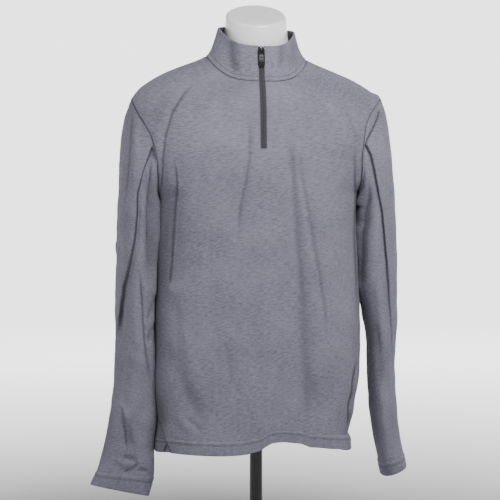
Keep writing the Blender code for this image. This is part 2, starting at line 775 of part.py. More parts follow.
def build():
    """Makes every piece of the sweatshirt, the form and the stand."""
    for old in list(bpy.data.objects):
        bpy.data.objects.remove(old)
    cloth_front = finish("jersey_front", (0.27, 0.26, 0.29), 0.9)
    cloth_back = finish("jersey_back", (0.27, 0.26, 0.29), 0.9)
    front_panel(cloth_front)
    back_panel(cloth_back)
    for name, table, folds, side in (
        ("sleeve_left", SLEEVE_LEFT, SLEEVE_LEFT_FOLDS, -1),
        ("sleeve_right", SLEEVE_RIGHT, SLEEVE_RIGHT_FOLDS, 1),
    ):
        sleeve(name, table, folds, side, finish("jersey_" + name, (0.27, 0.26, 0.29), 0.9))
    collar(finish("jersey_collar", (0.27, 0.26, 0.29), 0.9))
    for name, side in (("zip_tape_left", -1), ("zip_tape_right", 1)):
        zip_tape(name, side, finish(name + "_cloth", (0.08, 0.07, 0.09), 0.7))
    zip_slider(finish("slider_metal", (0.02, 0.02, 0.022), 0.35, 0.6))
    zip_pull(finish("pull_rubber", (0.015, 0.015, 0.016), 0.5))
    form_torso(finish("form_shell", (0.82, 0.82, 0.83), 0.3))
    flange_low = HEM_HEIGHT + FORM_FOOT_UP - SEAM_GAP - FLANGE_THICKNESS
    disc("stand_flange", FLANGE_DIAMETER, flange_low, flange_low + FLANGE_THICKNESS,
         finish("flange_metal", (0.02, 0.02, 0.02), 0.4, 0.5))
    disc("stand_pole", POLE_DIAMETER, BASE_THICKNESS + SEAM_GAP, flange_low - SEAM_GAP,
         finish("pole_metal", (0.02, 0.02, 0.02), 0.35, 0.5), sides=24)
    disc("stand_base", BASE_DIAMETER, 0.0, BASE_THICKNESS,
         finish("base_metal", (0.02, 0.02, 0.02), 0.45, 0.5), round_edge=BASE_ROUND)


build()
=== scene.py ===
"""Looks of the grey quarter-zip sweatshirt on its white dress form.

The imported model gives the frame. Every cloth piece is worked out again here on a fine grid, from
the same rings, sections and fold lines as its solid, in millimetres with the hem at height 0.
Lines of folds are places seen from the front: across from the form's axis, then up from the hem.
"""

import logging
import math
from contextlib import contextmanager
from dataclasses import dataclass, field, replace
from enum import Enum
from functools import partial
from typing import Callable, Iterator, Sequence

import bmesh
import bpy
import numpy as np
from mathutils import Matrix, Vector

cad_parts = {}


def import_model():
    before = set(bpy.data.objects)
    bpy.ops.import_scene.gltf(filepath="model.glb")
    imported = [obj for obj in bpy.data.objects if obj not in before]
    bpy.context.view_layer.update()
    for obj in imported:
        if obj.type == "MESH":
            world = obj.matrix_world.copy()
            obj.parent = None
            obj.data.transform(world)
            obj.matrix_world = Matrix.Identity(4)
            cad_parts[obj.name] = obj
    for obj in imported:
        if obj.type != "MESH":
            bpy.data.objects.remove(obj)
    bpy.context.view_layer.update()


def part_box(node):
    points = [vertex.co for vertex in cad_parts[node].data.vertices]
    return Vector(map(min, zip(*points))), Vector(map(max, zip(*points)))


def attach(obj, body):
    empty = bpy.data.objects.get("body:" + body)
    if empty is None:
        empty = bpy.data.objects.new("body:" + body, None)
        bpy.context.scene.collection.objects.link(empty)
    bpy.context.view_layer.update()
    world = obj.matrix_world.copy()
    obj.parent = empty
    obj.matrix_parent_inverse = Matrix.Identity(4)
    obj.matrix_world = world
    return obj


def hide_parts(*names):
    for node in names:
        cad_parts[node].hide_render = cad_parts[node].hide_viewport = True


LOG = logging.getLogger("sweatshirt")
Array = np.ndarray
Number = Array | float
Points = Sequence[tuple[float, float]]
Triple = tuple[float, float, float]
Surface = Callable[[Array, Array], Array]
Item = bpy.types.Object

MM = 0.001

# Sizes in millimetres and spreads in degrees. -1 and 1 are the sides at -X and +X.
CLOTH = 1.8
COLLAR_CLOTH = 2.6
SEAM_GAP = 0.3
ARMHOLE_UP = 578.5
ARMHOLE_RISE = 88.5
ARMHOLE_SPREAD = {-1: 39.0, 1: 42.0}
ARMHOLE_POWER = {-1: 2.0, 1: 3.2}
ARMHOLE_GAP = 0.7
ARMHOLE_HOLD = 110.0
SHOULDER_UP = ARMHOLE_UP + ARMHOLE_RISE
SHOULDER_TILT = 6.5
NECK_SIDE_UP = 743.0
NECK_TILT = 4.0
COLLAR_RISE = 62.0
ZIP_SLOT = 10.6
ZIP_LEAN = -2.0
ZIP_FOOT_UP = 585.0
TAPE_WIDTH = 14.0
HEM_DEPTH = 27.0
HEM_WAVE_UP = 260.0
CORNER_LET_OUT = 2.5
CUFF_DEPTH = 24.0
VIEW_TURN = math.radians(8.0)
VIEW_RISE = math.radians(7.0)

# How far below a hem's upper edge its rows of stitches lie, and the line of painted shade in the groove
# beside the lower one.
STITCHES_DOWN = (1.6, 6.0)
STITCH_DARK_DOWN = 6.4

# A rolled edge's reach and depth: at seams, free edges, the zip's slit, the neck and the collar.
SEAM_ROLL = (2.4, 1.15)
FREE_ROLL = (1.3, 1.2)
SLIT_ROLL = (1.6, 0.9)
NECK_ROLL = (2.4, 1.0)
COLLAR_FOOT_ROLL = (2.0, 1.0)
COLLAR_TOP_ROLL = (1.4, 1.25)

# Painted shade by a seam or a slit: how much it darkens the cloth's colour at the edge, and over what
# distance.
SEAM_DARK = (0.45, 1.1)
SLIT_DARK = (0.5, 1.0)
NECK_DARK = (0.4, 1.0)
COLLAR_FOOT_DARK = (0.42, 0.9)
ARMHOLE_DARK = {-1: (0.75, 2.0), 1: (0.5, 1.3)}

# The steps round and along by which a face's slope is measured.
BODY_STEPS = (0.4, 0.5)
COLLAR_STEPS = (0.4, 0.01)
SLEEVE_STEPS = (1.0, 2.0)

# Fine cells of an outer face to one of its inner face.
STRIDE = 3


# Shapes in numbers


class Table:
    """Rows of named columns, read smoothly against the first column."""

    def __init__(self, names: str, rows: Sequence[Sequence[float]]) -> None:
        """Keeps the column names and the rows."""
        self.names = names.split()
        self.rows = np.array(rows, float)

    def read(self, name: str, at: Number) -> Array:
        """Reads a column by a cubic through every row that never overshoots.

        Args:
            name: the column.
            at: places in the first column.

        Returns:
            The column's value at each place.
        """
        x = self.rows[:, 0]
        y = self.rows[:, self.names.index(name)]
        at = np.clip(np.asarray(at, float), x[0], x[-1])
        step = np.diff(x)
        rise = np.diff(y) / step
        slope = np.zeros(len(x))
        both = rise[:-1] * rise[1:] > 0
        slope[1:-1][both] = (2 * rise[:-1] * rise[1:])[both] / (rise[:-1] + rise[1:])[both]
        slope[0], slope[-1] = rise[0], rise[-1]
        k = np.clip(np.searchsorted(x, at, side="right") - 1, 0, len(step) - 1)
        t = (at - x[k]) / step[k]
        return (
            y[k] * (1 + 2 * t) * (1 - t) ** 2
            + y[k + 1] * t * t * (3 - 2 * t)
            + step[k] * t * (1 - t) * (slope[k] * (1 - t) - slope[k + 1] * t)
        )


def same_shape(*values: Number) -> Sequence[Array]:
    """The values as arrays of one shape."""
    return np.broadcast_arrays(*[np.asarray(value, float) for value in values])


def run_along(path: Array) -> Array:
    """How far along a path each of its points lies."""
    return np.concatenate([[0.0], np.cumsum(np.linalg.norm(np.diff(path, axis=0), axis=1))])


def ring_angles(sides: int) -> Array:
    """Even angles once round."""
    return np.arange(sides) * 2 * np.pi / sides


def unit(vectors: Array) -> Array:
    """Each vector at length one."""
    return vectors / np.maximum(np.linalg.norm(vectors, axis=-1, keepdims=True), 1e-12)


def smooth(t: Number) -> Array:
    """A smooth rise from 0 to 1: 3t^2 - 2t^3."""
    t = np.clip(t, 0.0, 1.0)
    return t * t * (3 - 2 * t)


def bell(distance: Array, width: float) -> Array:
    """A soft bump: e to the minus square of distance over width."""
    return np.exp(-((distance / width) ** 2))


def seen(points: Array) -> tuple[Array, Array]:
    """Where points appear to an eye in front, turned and raised as the camera is.

    Args:
        points: places in millimetres.

    Returns:
        How far across from the form's axis and how far up from the hem each appears.
    """
    across = points[..., 0] * math.cos(VIEW_TURN) - points[..., 1] * math.sin(VIEW_TURN)
    away = points[..., 0] * math.sin(VIEW_TURN) + points[..., 1] * math.cos(VIEW_TURN)
    return across, points[..., 2] * math.cos(VIEW_RISE) + away * math.sin(VIEW_RISE)


def seen_behind(points: Array) -> tuple[Array, Array]:
    """Where points appear from straight behind, with the wearer's right still at minus."""
    return points[..., 0], points[..., 2]


def line_distance(across: Array, up: Array, line: Points) -> tuple[Array, Array]:
    """Measures places against a line of points.

    Args:
        across: places across.
        up: places up.
        line: the line's points, from its upper end.

    Returns:
        The signed distance, positive on the viewer's right of a line that runs down, and how far
        along the line the nearest point lies, from 0 to 1.
    """
    points = np.array(line, float)
    lengths = np.linalg.norm(np.diff(points, axis=0), axis=1)
    starts = run_along(points)
    nearest = np.full(across.shape, np.inf)
    signed = np.zeros(across.shape)
    along = np.zeros(across.shape)
    for k, length in enumerate(lengths):
        way = (points[k + 1] - points[k]) / length
        right = across - points[k, 0]
        over = up - points[k, 1]
        run = np.clip(right * way[0] + over * way[1], 0.0, length)
        off = np.hypot(right - run * way[0], over - run * way[1])
        side = np.where(over * way[0] - right * way[1] > 0, 1.0, -1.0)
        closer = off < nearest
        nearest = np.where(closer, off, nearest)
        signed = np.where(closer, off * side, signed)
        along = np.where(closer, (starts[k] + run) / starts[-1], along)
    return signed, along


def wander(u: Array, v: Array, size: float, seed: int, waves: int = 14) -> Array:
    """Gives cloth its slight unevenness, as a sum of plane waves of chosen headings.

    Args:
        u: places across the cloth.
        v: places along it.
        size: the shortest wave, in the same unit.
        seed: which set of headings and phases.
        waves: how many waves are summed.

    Returns:
        Heights about 0, mostly between -1 and 1.
    """
    draw = np.random.default_rng(seed)
    total = np.zeros(np.broadcast(u, v).shape)
    for _ in range(waves):
        heading = draw.uniform(0, math.pi)
        length = size * draw.uniform(1.0, 2.6)
        phase = draw.uniform(0, 2 * math.pi)
        total += np.sin(2 * math.pi * (u * math.cos(heading) + v * math.sin(heading)) / length + phase)
    return total / math.sqrt(waves)


class Crease(Enum):
    """The ways in which cloth folds along a line."""

    TROUGH = "soft hollow"
    RIDGE = "soft rise"
    STEP = "one side tucked behind the other's sharp edge"
    PINCH = "narrow dark crevice"


@dataclass(frozen=True)
class Fold:
    """One fold, along a line of points, in millimetres."""

    kind: Crease
    width: float
    depth: float
    line: Points
    # shade: painted shade, how much the fold darkens the cloth's colour along its line
    shade: float = 0.0
    tail: float = 4.0
    head: float = 4.0
    blur: float = 2.0

    def height(self, across: Array, up: Array) -> tuple[Array, Array]:
        """Works out how the fold lifts the cloth and how much painted shade it lays in the cloth's colour.

        Trough and ridge are bells; a step falls within an edge's width of its line and fades
        as e to the minus distance over width; a pinch is a bell a few millimetres wide. Head and
        tail say how fast the fold grows and ends, blur how wide its painted shade is.

        Args:
            across: places across.
            up: places up.

        Returns:
            The lift in millimetres, and how much painted shade darkens the cloth's colour there, from 0 to 1.
        """
        edge = 1.6
        off, along = line_distance(across, up, self.line)
        taper = smooth(along * self.head) * smooth((1 - along) * self.tail)
        if self.kind is Crease.STEP:
            off = off * math.copysign(1.0, self.depth)
            fall = (1 - np.exp(-np.maximum(off, 0.0) / edge)) * np.exp(-np.maximum(off, 0.0) / self.width)
            shape = -fall
            dark = bell(off - edge / 2, self.blur)
        else:
            sign = 1.0 if self.kind is Crease.RIDGE else -1.0
            shape = sign * bell(off, self.width)
            dark = bell(off, self.blur)
        return abs(self.depth) * taper * shape, self.shade * taper * dark


def fold_field(across: Array, up: Array, folds: Sequence[Fold]) -> tuple[Array, Array]:
    """Sums the lifts of several folds, and takes their deepest painted shade."""
    lift = np.zeros(across.shape)
    dark = np.zeros(across.shape)
    for fold in folds:
        rise, shade = fold.height(across, up)
        lift += rise
        dark = np.maximum(dark, shade)
    return lift, dark


def faces_out(surface: Surface, u: Array, v: Array, du: float, dv: float) -> Array:
    """The surface's outward normal at each place, from four close points."""
    across = surface(u + du, v) - surface(u - du, v)
    upward = surface(u, v + dv) - surface(u, v - dv)
    return unit(np.cross(across, upward))


def painted_edge_shade(distance: Array, share: float, reach: float) -> Array:
    """Painted shade beside an edge: share there, less by e for every reach away."""
    return share * np.exp(-distance / reach)


def ring_side(turn: Array) -> Array:
    """How far round from the front a turn lies, from 0 to 180."""
    return np.abs((turn + 180.0) % 360.0 - 180.0)


def end_share(turn: Array) -> Array:
    """How near a ring's height is to its front's or back's: 1 - sin^4 ahead, cos^2 behind."""
    angle = np.radians(turn)
    return np.where(np.cos(angle) > 0, 1 - np.sin(angle) ** 4, np.cos(angle) ** 2)


def ring_point(
    turn: Array, width: Array, front: Array, back: Array, square: Number,
    side_up: Array, front_up: Array, back_up: Array,
) -> Array:
    """A point of an oval ring: sine of turn across, cosine ahead, bulged by sin^2 of twice turn."""
    angle = np.radians(turn)
    bulge = 1 + square * np.sin(2 * angle) ** 2
    ahead = np.cos(angle)
    x = width * np.sin(angle) * bulge
    y = -np.where(ahead > 0, front, back) * ahead * bulge
    z = side_up + (np.where(ahead > 0, front_up, back_up) - side_up) * end_share(turn)
    return np.stack(np.broadcast_arrays(x, y, z), axis=-1)


# Meshes


@dataclass
class Grid:
    """A fine outer face, a coarser inner one, and what the finish needs of the outer."""

    outer: Array
    inner: Array
    u: Array
    v: Array
    # painted shade: how much the cloth's colour is darkened at each outer point
    dark: Array


def placed(name: str, data: bpy.types.ID) -> Item:
    """A new object in the scene, at its origin."""
    item = bpy.data.objects.new(name, data)
    bpy.context.scene.collection.objects.link(item)
    return item


@contextmanager
def opened(mesh: bpy.types.Mesh) -> Iterator[bmesh.types.BMesh]:
    """Opens a mesh for editing, and writes it back."""
    model = bmesh.new()
    model.from_mesh(mesh)
    yield model
    model.to_mesh(mesh)
    model.free()


def new_mesh(name: str, points: Array, groups: Sequence[Array]) -> Item:
    """Puts points and faces into a new smooth object at the world's origin.

    Args:
        name: the object's name.
        points: n by 3, in metres.
        groups: arrays of faces, each m by 3 or m by 4.

    Returns:
        The object.
    """
    mesh = bpy.data.meshes.new(name)
    sizes = np.concatenate([np.full(len(faces), faces.shape[1]) for faces in groups])
    loops = np.concatenate([np.ascontiguousarray(faces, np.int32).ravel() for faces in groups])
    mesh.vertices.add(len(points))
    mesh.vertices.foreach_set("co", np.ascontiguousarray(points, np.float32).ravel())
    mesh.loops.add(len(loops))
    mesh.loops.foreach_set("vertex_index", loops)
    mesh.polygons.add(len(sizes))
    starts = np.concatenate([[0], np.cumsum(sizes)[:-1]]).astype(np.int32)
    mesh.polygons.foreach_set("loop_start", starts)
    mesh.update(calc_edges=True)
    mesh.shade_smooth()
    return placed(name, mesh)


def quad_index(rows: int, columns: int, closed: bool) -> Array:
    """The four corners of each cell of a grid of points, round again to the first if closed."""
    index = np.arange(rows * columns).reshape(rows, columns)
    if closed:
        index = np.concatenate([index, index[:, :1]], axis=1)
    return np.stack([index[:-1, :-1], index[:-1, 1:], index[1:, 1:], index[1:, :-1]], axis=-1)


def cloth_wall(
    name: str, grid: Grid, hem: float, closed: bool = False, mirrored: bool = False,
    kept: Array | None = None,
) -> Item:
    """Makes a wall of cloth between a fine grid and one STRIDE times coarser.

    The coarse grid's points lie behind every STRIDE-th fine one. Along each free edge, a coarse
    edge and its STRIDE fine ones are joined by a fan of triangles.

    Args:
        name: the object's name.
        grid: both faces in millimetres above the hem, and the cloth's own coordinates.
        hem: the hem's height in metres.
        closed: True for a tube, whose coordinates have one more column than its points.
        mirrored: True where the grid runs the other way round.
        kept: which coarse cells are cloth.

    Returns:
        The object, with the UV map "cloth" in metres and a point attribute of painted shade.
    """
    rows, columns = grid.outer.shape[:2]
    low_rows, low_columns = grid.inner.shape[:2]
    if kept is None:
        kept = np.ones((low_rows - 1, low_columns - (0 if closed else 1)), bool)
    fine = quad_index(rows, columns, closed)[kept.repeat(STRIDE, 0).repeat(STRIDE, 1)]
    coarse = quad_index(low_rows, low_columns, closed)[kept]
    edges = np.concatenate([coarse[:, [k, (k + 1) % 4]] for k in range(4)])
    total = low_rows * low_columns
    there = edges[:, 0] * total + edges[:, 1]
    rim = edges[~np.isin(there, edges[:, 1] * total + edges[:, 0])]

    low_row, low_column = np.divmod(rim, low_columns)
    row_step = low_row[:, 1] - low_row[:, 0]
    column_step = low_column[:, 1] - low_column[:, 0]
    if closed:
        column_step = np.where(column_step < -1, 1, np.where(column_step > 1, -1, column_step))
    part = np.arange(STRIDE + 1)
    fine_row = low_row[:, :1] * STRIDE + row_step[:, None] * part
    fine_column = (low_column[:, :1] * STRIDE + column_step[:, None] * part) % columns
    chain = fine_row * columns + fine_column
    count = rows * columns
    first, last = rim[:, 0] + count, rim[:, 1] + count
    fans = [
        np.stack([chain[:, k + 1], chain[:, k], first if k < STRIDE - 1 else last], axis=-1)
        for k in range(STRIDE)
    ]
    fans.append(np.stack([chain[:, STRIDE - 1], first, last], axis=-1))
    sides = np.concatenate(fans)
    quads = np.concatenate([fine, coarse[:, ::-1] + count])
    if mirrored:
        quads, sides = quads[:, ::-1], sides[:, ::-1]

    points = np.concatenate([grid.outer.reshape(-1, 3), grid.inner.reshape(-1, 3)]) * MM
    points[:, 2] += hem
    item = new_mesh(name, points, [quads, sides])
    mesh = item.data

    fine_place = np.stack(np.divmod(np.arange(count), columns), axis=-1)
    coarse_place = np.stack(np.divmod(np.arange(total), low_columns), axis=-1) * STRIDE
    place = np.concatenate([fine_place, coarse_place])
    wide = grid.u.shape[1]

    def corner_uv(faces: Array) -> Array:
        """The cloth's coordinates at every corner of some faces."""
        row, column = place[faces, 0], place[faces, 1]
        if closed:
            wraps = column.max(axis=1, keepdims=True) - column.min(axis=1, keepdims=True) > columns // 2
            column = np.where(wraps & (column < columns // 2), column + columns, column)
        at = (row * wide + column).ravel()
        return np.stack([grid.u.ravel()[at], grid.v.ravel()[at]], axis=-1) * MM

    uv = np.concatenate([corner_uv(quads), corner_uv(sides)])
    mesh.uv_layers.new(name="cloth").data.foreach_set("uv", uv.astype(np.float32).ravel())
    # The outer face's painted shade goes into a point attribute, which the finish reads to darken the cloth's
    # colour.
    dark = np.concatenate([grid.dark.ravel(), np.zeros(total)])
    crease = mesh.attributes.new("crease", "FLOAT", "POINT")
    crease.data.foreach_set("value", dark.astype(np.float32))
    with opened(mesh) as model:
        bmesh.ops.delete(model, geom=[v for v in model.verts if not v.link_faces], context="VERTS")
    mesh.set_sharp_from_angle(angle=math.radians(80))
    return item


def solid_loops(name: str, loops: Array, sharp: float) -> Item:
    """Makes a solid from closed loops of equal length in millimetres, ends drawn to their middles.

    Args:
        name: the object's name.
        loops: rows by columns by 3, from the lowest, each turning to the left seen from above.
        sharp: the angle in degrees over which an edge is sharp.

    Returns:
        The object.
    """
    rows, columns = loops.shape[:2]
    count = rows * columns
    points = np.concatenate([loops.reshape(-1, 3), [loops[0].mean(0)], [loops[-1].mean(0)]]) * MM
    quads = quad_index(rows, columns, True).reshape(-1, 4)
    k = np.arange(columns)
    after = (k + 1) % columns
    foot = np.stack([after, k, np.full(columns, count)], axis=-1)
    top = np.stack([k, after, np.full(columns, count + 1)], axis=-1)
    top[:, :2] += (rows - 1) * columns
    item = new_mesh(name, points, [quads, np.concatenate([foot, top])])
    item.data.set_sharp_from_angle(angle=math.radians(sharp))
    return item


def turned(
    name: str, profile: Points, sides: int, up: float = 0.0, centres: Points = ((0.0, 0.0),)
) -> Item:
    """Makes a round piece by turning a profile about upright axes.

    Args:
        name: the object's name.
        profile: radius and height of each ring in millimetres, from the lowest.
        sides: how many sides a ring has.
        up: what is added to every height.
        centres: where each copy's axis stands.

    Returns:
        The object, all copies in one mesh.
    """
    angle = ring_angles(sides)
    copies = []
    for x, y in centres:
        rings = [[x + r * np.cos(angle), y + r * np.sin(angle), 0 * angle + up + z] for r, z in profile]
        copies.append(solid_loops(name, np.moveaxis(np.array(rings), 1, 2), 35.0))
    return join(name, copies)


def join(name: str, items: Sequence[Item]) -> Item:
    """Makes one object of several meshes that stand at the origin."""
    if len(items) == 1:
        return items[0]
    with bpy.context.temp_override(
        active_object=items[0], selected_editable_objects=list(items), selected_objects=list(items)
    ):
        bpy.ops.object.join()
    items[0].name = name
    return items[0]


def tube(name: str, path: Array, across: Array, wide: float, thick: float, sides: int) -> Item:
    """Carries an oval along a path.

    Args:
        name: the object's name.
        path: n by 3, in millimetres.
        across: n by 3 unit vectors along which the oval is wide.
        wide: the oval's half width.
        thick: its half thickness.
        sides: how many sides it has.

    Returns:
        The object.
    """
    way = unit(np.gradient(path, axis=0))
    off = unit(np.cross(way, across))
    angle = ring_angles(sides)
    loops = (
        path[:, None, :]
        + across[:, None, :] * (np.cos(angle) * wide)[None, :, None]
        - off[:, None, :] * (np.sin(angle) * thick)[None, :, None]
    )
    item = solid_loops(name, loops, 60.0)
    with opened(item.data) as model:
        bmesh.ops.recalc_face_normals(model, faces=model.faces)
    return item


def plate(
    name: str, outlines: Sequence[Points], thick: float, bevel: float, spot: Array, lean: float
) -> Item:
    """Makes a flat plate with rounded edges from an outline and the holes in it.

    Args:
        name: the object's name.
        outlines: the outer line, then each hole's, across and up in millimetres.
        thick: the plate's thickness.
        bevel: its edges' rounding.
        spot: where the outlines' origin goes.
        lean: how far the plate leans back, in radians.

    Returns:
        The object, facing -Y.
    """
    curve = bpy.data.curves.new(name, "CURVE")
    curve.dimensions = "2D"
    curve.fill_mode = "BOTH"
    curve.extrude = thick / 2 - bevel
    curve.bevel_depth = bevel
    curve.bevel_resolution = 2
    curve.offset = -bevel
    for outline in outlines:
        spline = curve.splines.new("POLY")
        spline.points.add(len(outline) - 1)
        spline.use_cyclic_u = True
        for point, (x, y) in zip(spline.points, outline):
            point.co = (x, y, 0.0, 1.0)
    shape = placed(name + "_line", curve)
    bpy.context.view_layer.update()
    mesh = bpy.data.meshes.new_from_object(shape.evaluated_get(bpy.context.evaluated_depsgraph_get()))
    bpy.data.objects.remove(shape)
    place = (
        Matrix.Scale(MM, 4)
        @ Matrix.Translation(Vector([float(c) for c in spot]))
        @ Matrix.Rotation(lean, 4, "X")
        @ Matrix.Rotation(math.pi / 2, 4, "X")
    )
    mesh.transform(place)
    with opened(mesh) as model:
        bmesh.ops.remove_doubles(model, verts=model.verts, dist=1e-6)
        bmesh.ops.recalc_face_normals(model, faces=model.faces)
    mesh.name = name
    mesh.shade_smooth()
    mesh.set_sharp_from_angle(angle=math.radians(35))
    return placed(name, mesh)


def sampled(values: Array, run: Array, at: Array) -> Array:
    """Rows of three values read at places along their run, straight between the rows."""
    return np.stack([np.interp(at, run, part) for part in values.T], axis=-1)


def stitches(
    name: str, lines: Sequence[tuple[Array, Array]], hem: float,
    length: float = 2.6, gap: float = 0.7, thread: float = 0.28,
) -> Item:
    """Lays rows of separate stitches on cloth.

    Each stitch is a tube of five rings of five points, thin and sunk at its ends and raised by
    half the thread at its middle.

    Args:
        name: the object's name.
        lines: for each row, its points in millimetres above the hem and the cloth's normals there.
        hem: the hem's height in metres.
        length: one stitch's length.
        gap: the space after it.
        thread: the thread's half thickness.

    Returns:
        The object, all stitches in one mesh.
    """
    sides, rings = 5, 5
    part = np.linspace(-0.5, 0.5, rings)
    thick = thread * np.array([0.45, 1.0, 1.1, 1.0, 0.45])
    raised = thread * np.array([-0.9, 0.4, 0.8, 0.4, -0.9])
    angle = ring_angles(sides)
    points, faces, ends = [], [], []
    start = 0
    cell = quad_index(rings, sides, True).reshape(-1, 4)
    caps = np.array([[k + 1, k, 0] for k in range(1, sides - 1)])
    caps = np.concatenate([caps, caps[:, ::-1] + (rings - 1) * sides])
    for path, normals in lines:
        run = run_along(path)
        count = int(run[-1] // (length + gap))
        centre = (np.arange(count) + 0.5) * run[-1] / count
        at = centre[:, None] + part * length
        spot = sampled(path, run, at)
        up = unit(sampled(normals, run, at))
        way = unit(np.gradient(spot, axis=1))
        side = unit(np.cross(way, up))
        loop = (
            (spot + up * raised[:, None])[:, :, None, :]
            + up[:, :, None, :] * (thick[:, None] * np.cos(angle))[None, :, :, None]
            + side[:, :, None, :] * (thick[:, None] * np.sin(angle))[None, :, :, None]
        )
        points.append(loop.reshape(-1, 3))
        first = start + np.arange(count)[:, None, None] * rings * sides
        faces.append((cell[None] + first).reshape(-1, 4))
        ends.append((caps[None] + first).reshape(-1, 3))
        start += count * rings * sides
    places = np.concatenate(points) * MM
    places[:, 2] += hem
    return new_mesh(name, places, [np.concatenate(faces), np.concatenate(ends)])


def sewn_rows(
    name: str, surface: Surface, turn: Array, levels: Sequence[float], steps: tuple[float, float],
    hem: float, length: float, facing: int = 1,
) -> Item:
    """Lays a row of stitches on a surface at each level.

    Args:
        name: the object's name.
        surface: the face, by turn and level, in millimetres above the hem.
        turn: the turns that each row passes.
        levels: the rows' levels.
        steps: the steps of turn and level by which the slope is measured.
        hem: the hem's height in metres.
        length: one stitch's length.
        facing: -1 where the surface's normals point inwards.

    Returns:
        The object.
    """
    lines = []
    for level in levels:
        at = np.full(turn.shape, level)
        lines.append((surface(turn, at), faces_out(surface, turn, at, *steps) * facing))
    return stitches(name, lines, hem, length)


# Forms of the garment

BODY = Table(
    "up front_up back_up half_width front back square",
    [
        (0, 0, 0, 190, 124, 114, 0.07), (60, 60, 60, 192, 124, 113, 0.07),
        (150, 150, 150, 197, 125, 112, 0.07), (250, 250, 250, 197, 126, 111, 0.07),
        (350, 350, 350, 193, 127, 112, 0.07), (450, 450, 450, 190, 127, 116, 0.07),
        (490, 490, 490, 192, 126, 119, 0.07), (521, 521, 521, 212, 124, 121, 0.07),
        (545, 545, 545, 228, 122, 122, 0.07), (578, 578, 578, 240, 119, 123, 0.07),
        (605, 604, 605, 244, 113, 121, 0.07), (635, 630, 636, 243, 106, 115, 0.07),
        (655, 648, 657, 240, 101, 110, 0.07), (667, 659, 670, 236, 98, 106, 0.06),
        (683, 672, 687, 219, 94, 100, 0.05), (697, 683, 701, 198, 90, 94, 0.04),
        (709, 690.5, 714, 176, 87, 88, 0.03), (722, 697.5, 729, 145, 84, 78, 0.02),
        (735, 703.5, 743, 112, 81, 68, 0.0), (743, 707, 752, 95, 80, 64, 0.0),
    ],
)
COLLAR = Table(
    "rise half_width front back front_up side_up back_up",
    [
        (0.00, 95, 80, 64, 707, 743, 752), (0.12, 89, 77, 64, 715, 750, 757),
        (0.35, 83, 73, 63, 731, 762, 768), (0.70, 76, 69, 62, 753, 783, 784),
        (1.00, 72, 66, 61, 772, 797, 798),
    ],
)
SLEEVE_LEFT = Table(
    "along out out_up inner inner_up front back",
    [
        (0, 236, 667, 192, 490, 74, 76), (40, 249, 630, 195, 468, 76, 77),
        (80, 255.5, 590, 194.5, 443, 77, 78), (130, 259, 540, 193.5, 410, 76, 78),
        (200, 262, 468, 194.5, 360, 73, 76), (280, 264.5, 388, 197.5, 305, 69, 72),
        (360, 266.5, 310, 200, 250, 63, 66), (440, 266.5, 232, 200, 192, 55, 59),
        (520, 270, 157, 199, 130, 45, 50), (600, 278, 80, 197, 62, 33, 38),
        (660, 290, 16, 195, 5, 22, 26), (705, 303, -32, 196, -42, 15, 17),
        (735, 316, -62, 206, -86, 12, 13),
    ],
)
SLEEVE_RIGHT = Table(
    "along out out_up inner inner_up front back",
    [
        (0, 236, 667, 192, 490, 74, 76), (40, 248.5, 630, 195, 468, 76, 77),
        (80, 254.5, 590, 194.5, 443, 77, 78), (130, 258.5, 540, 193, 410, 76, 78),
        (200, 264, 468, 194.5, 360, 73, 76), (280, 268, 388, 197.5, 305, 69, 72),
        (360, 271, 310, 205, 250, 64, 67), (440, 268, 232, 213, 200, 58, 62),
        (520, 265, 157, 215, 140, 54, 58), (600, 269, 85, 218, 78, 50, 54),
        (660, 276, 25, 226.5, 20, 50, 52), (705, 284, -20, 238, -38, 52, 52),
        (722, 287, -36, 242, -55, 52, 53),
    ],
)

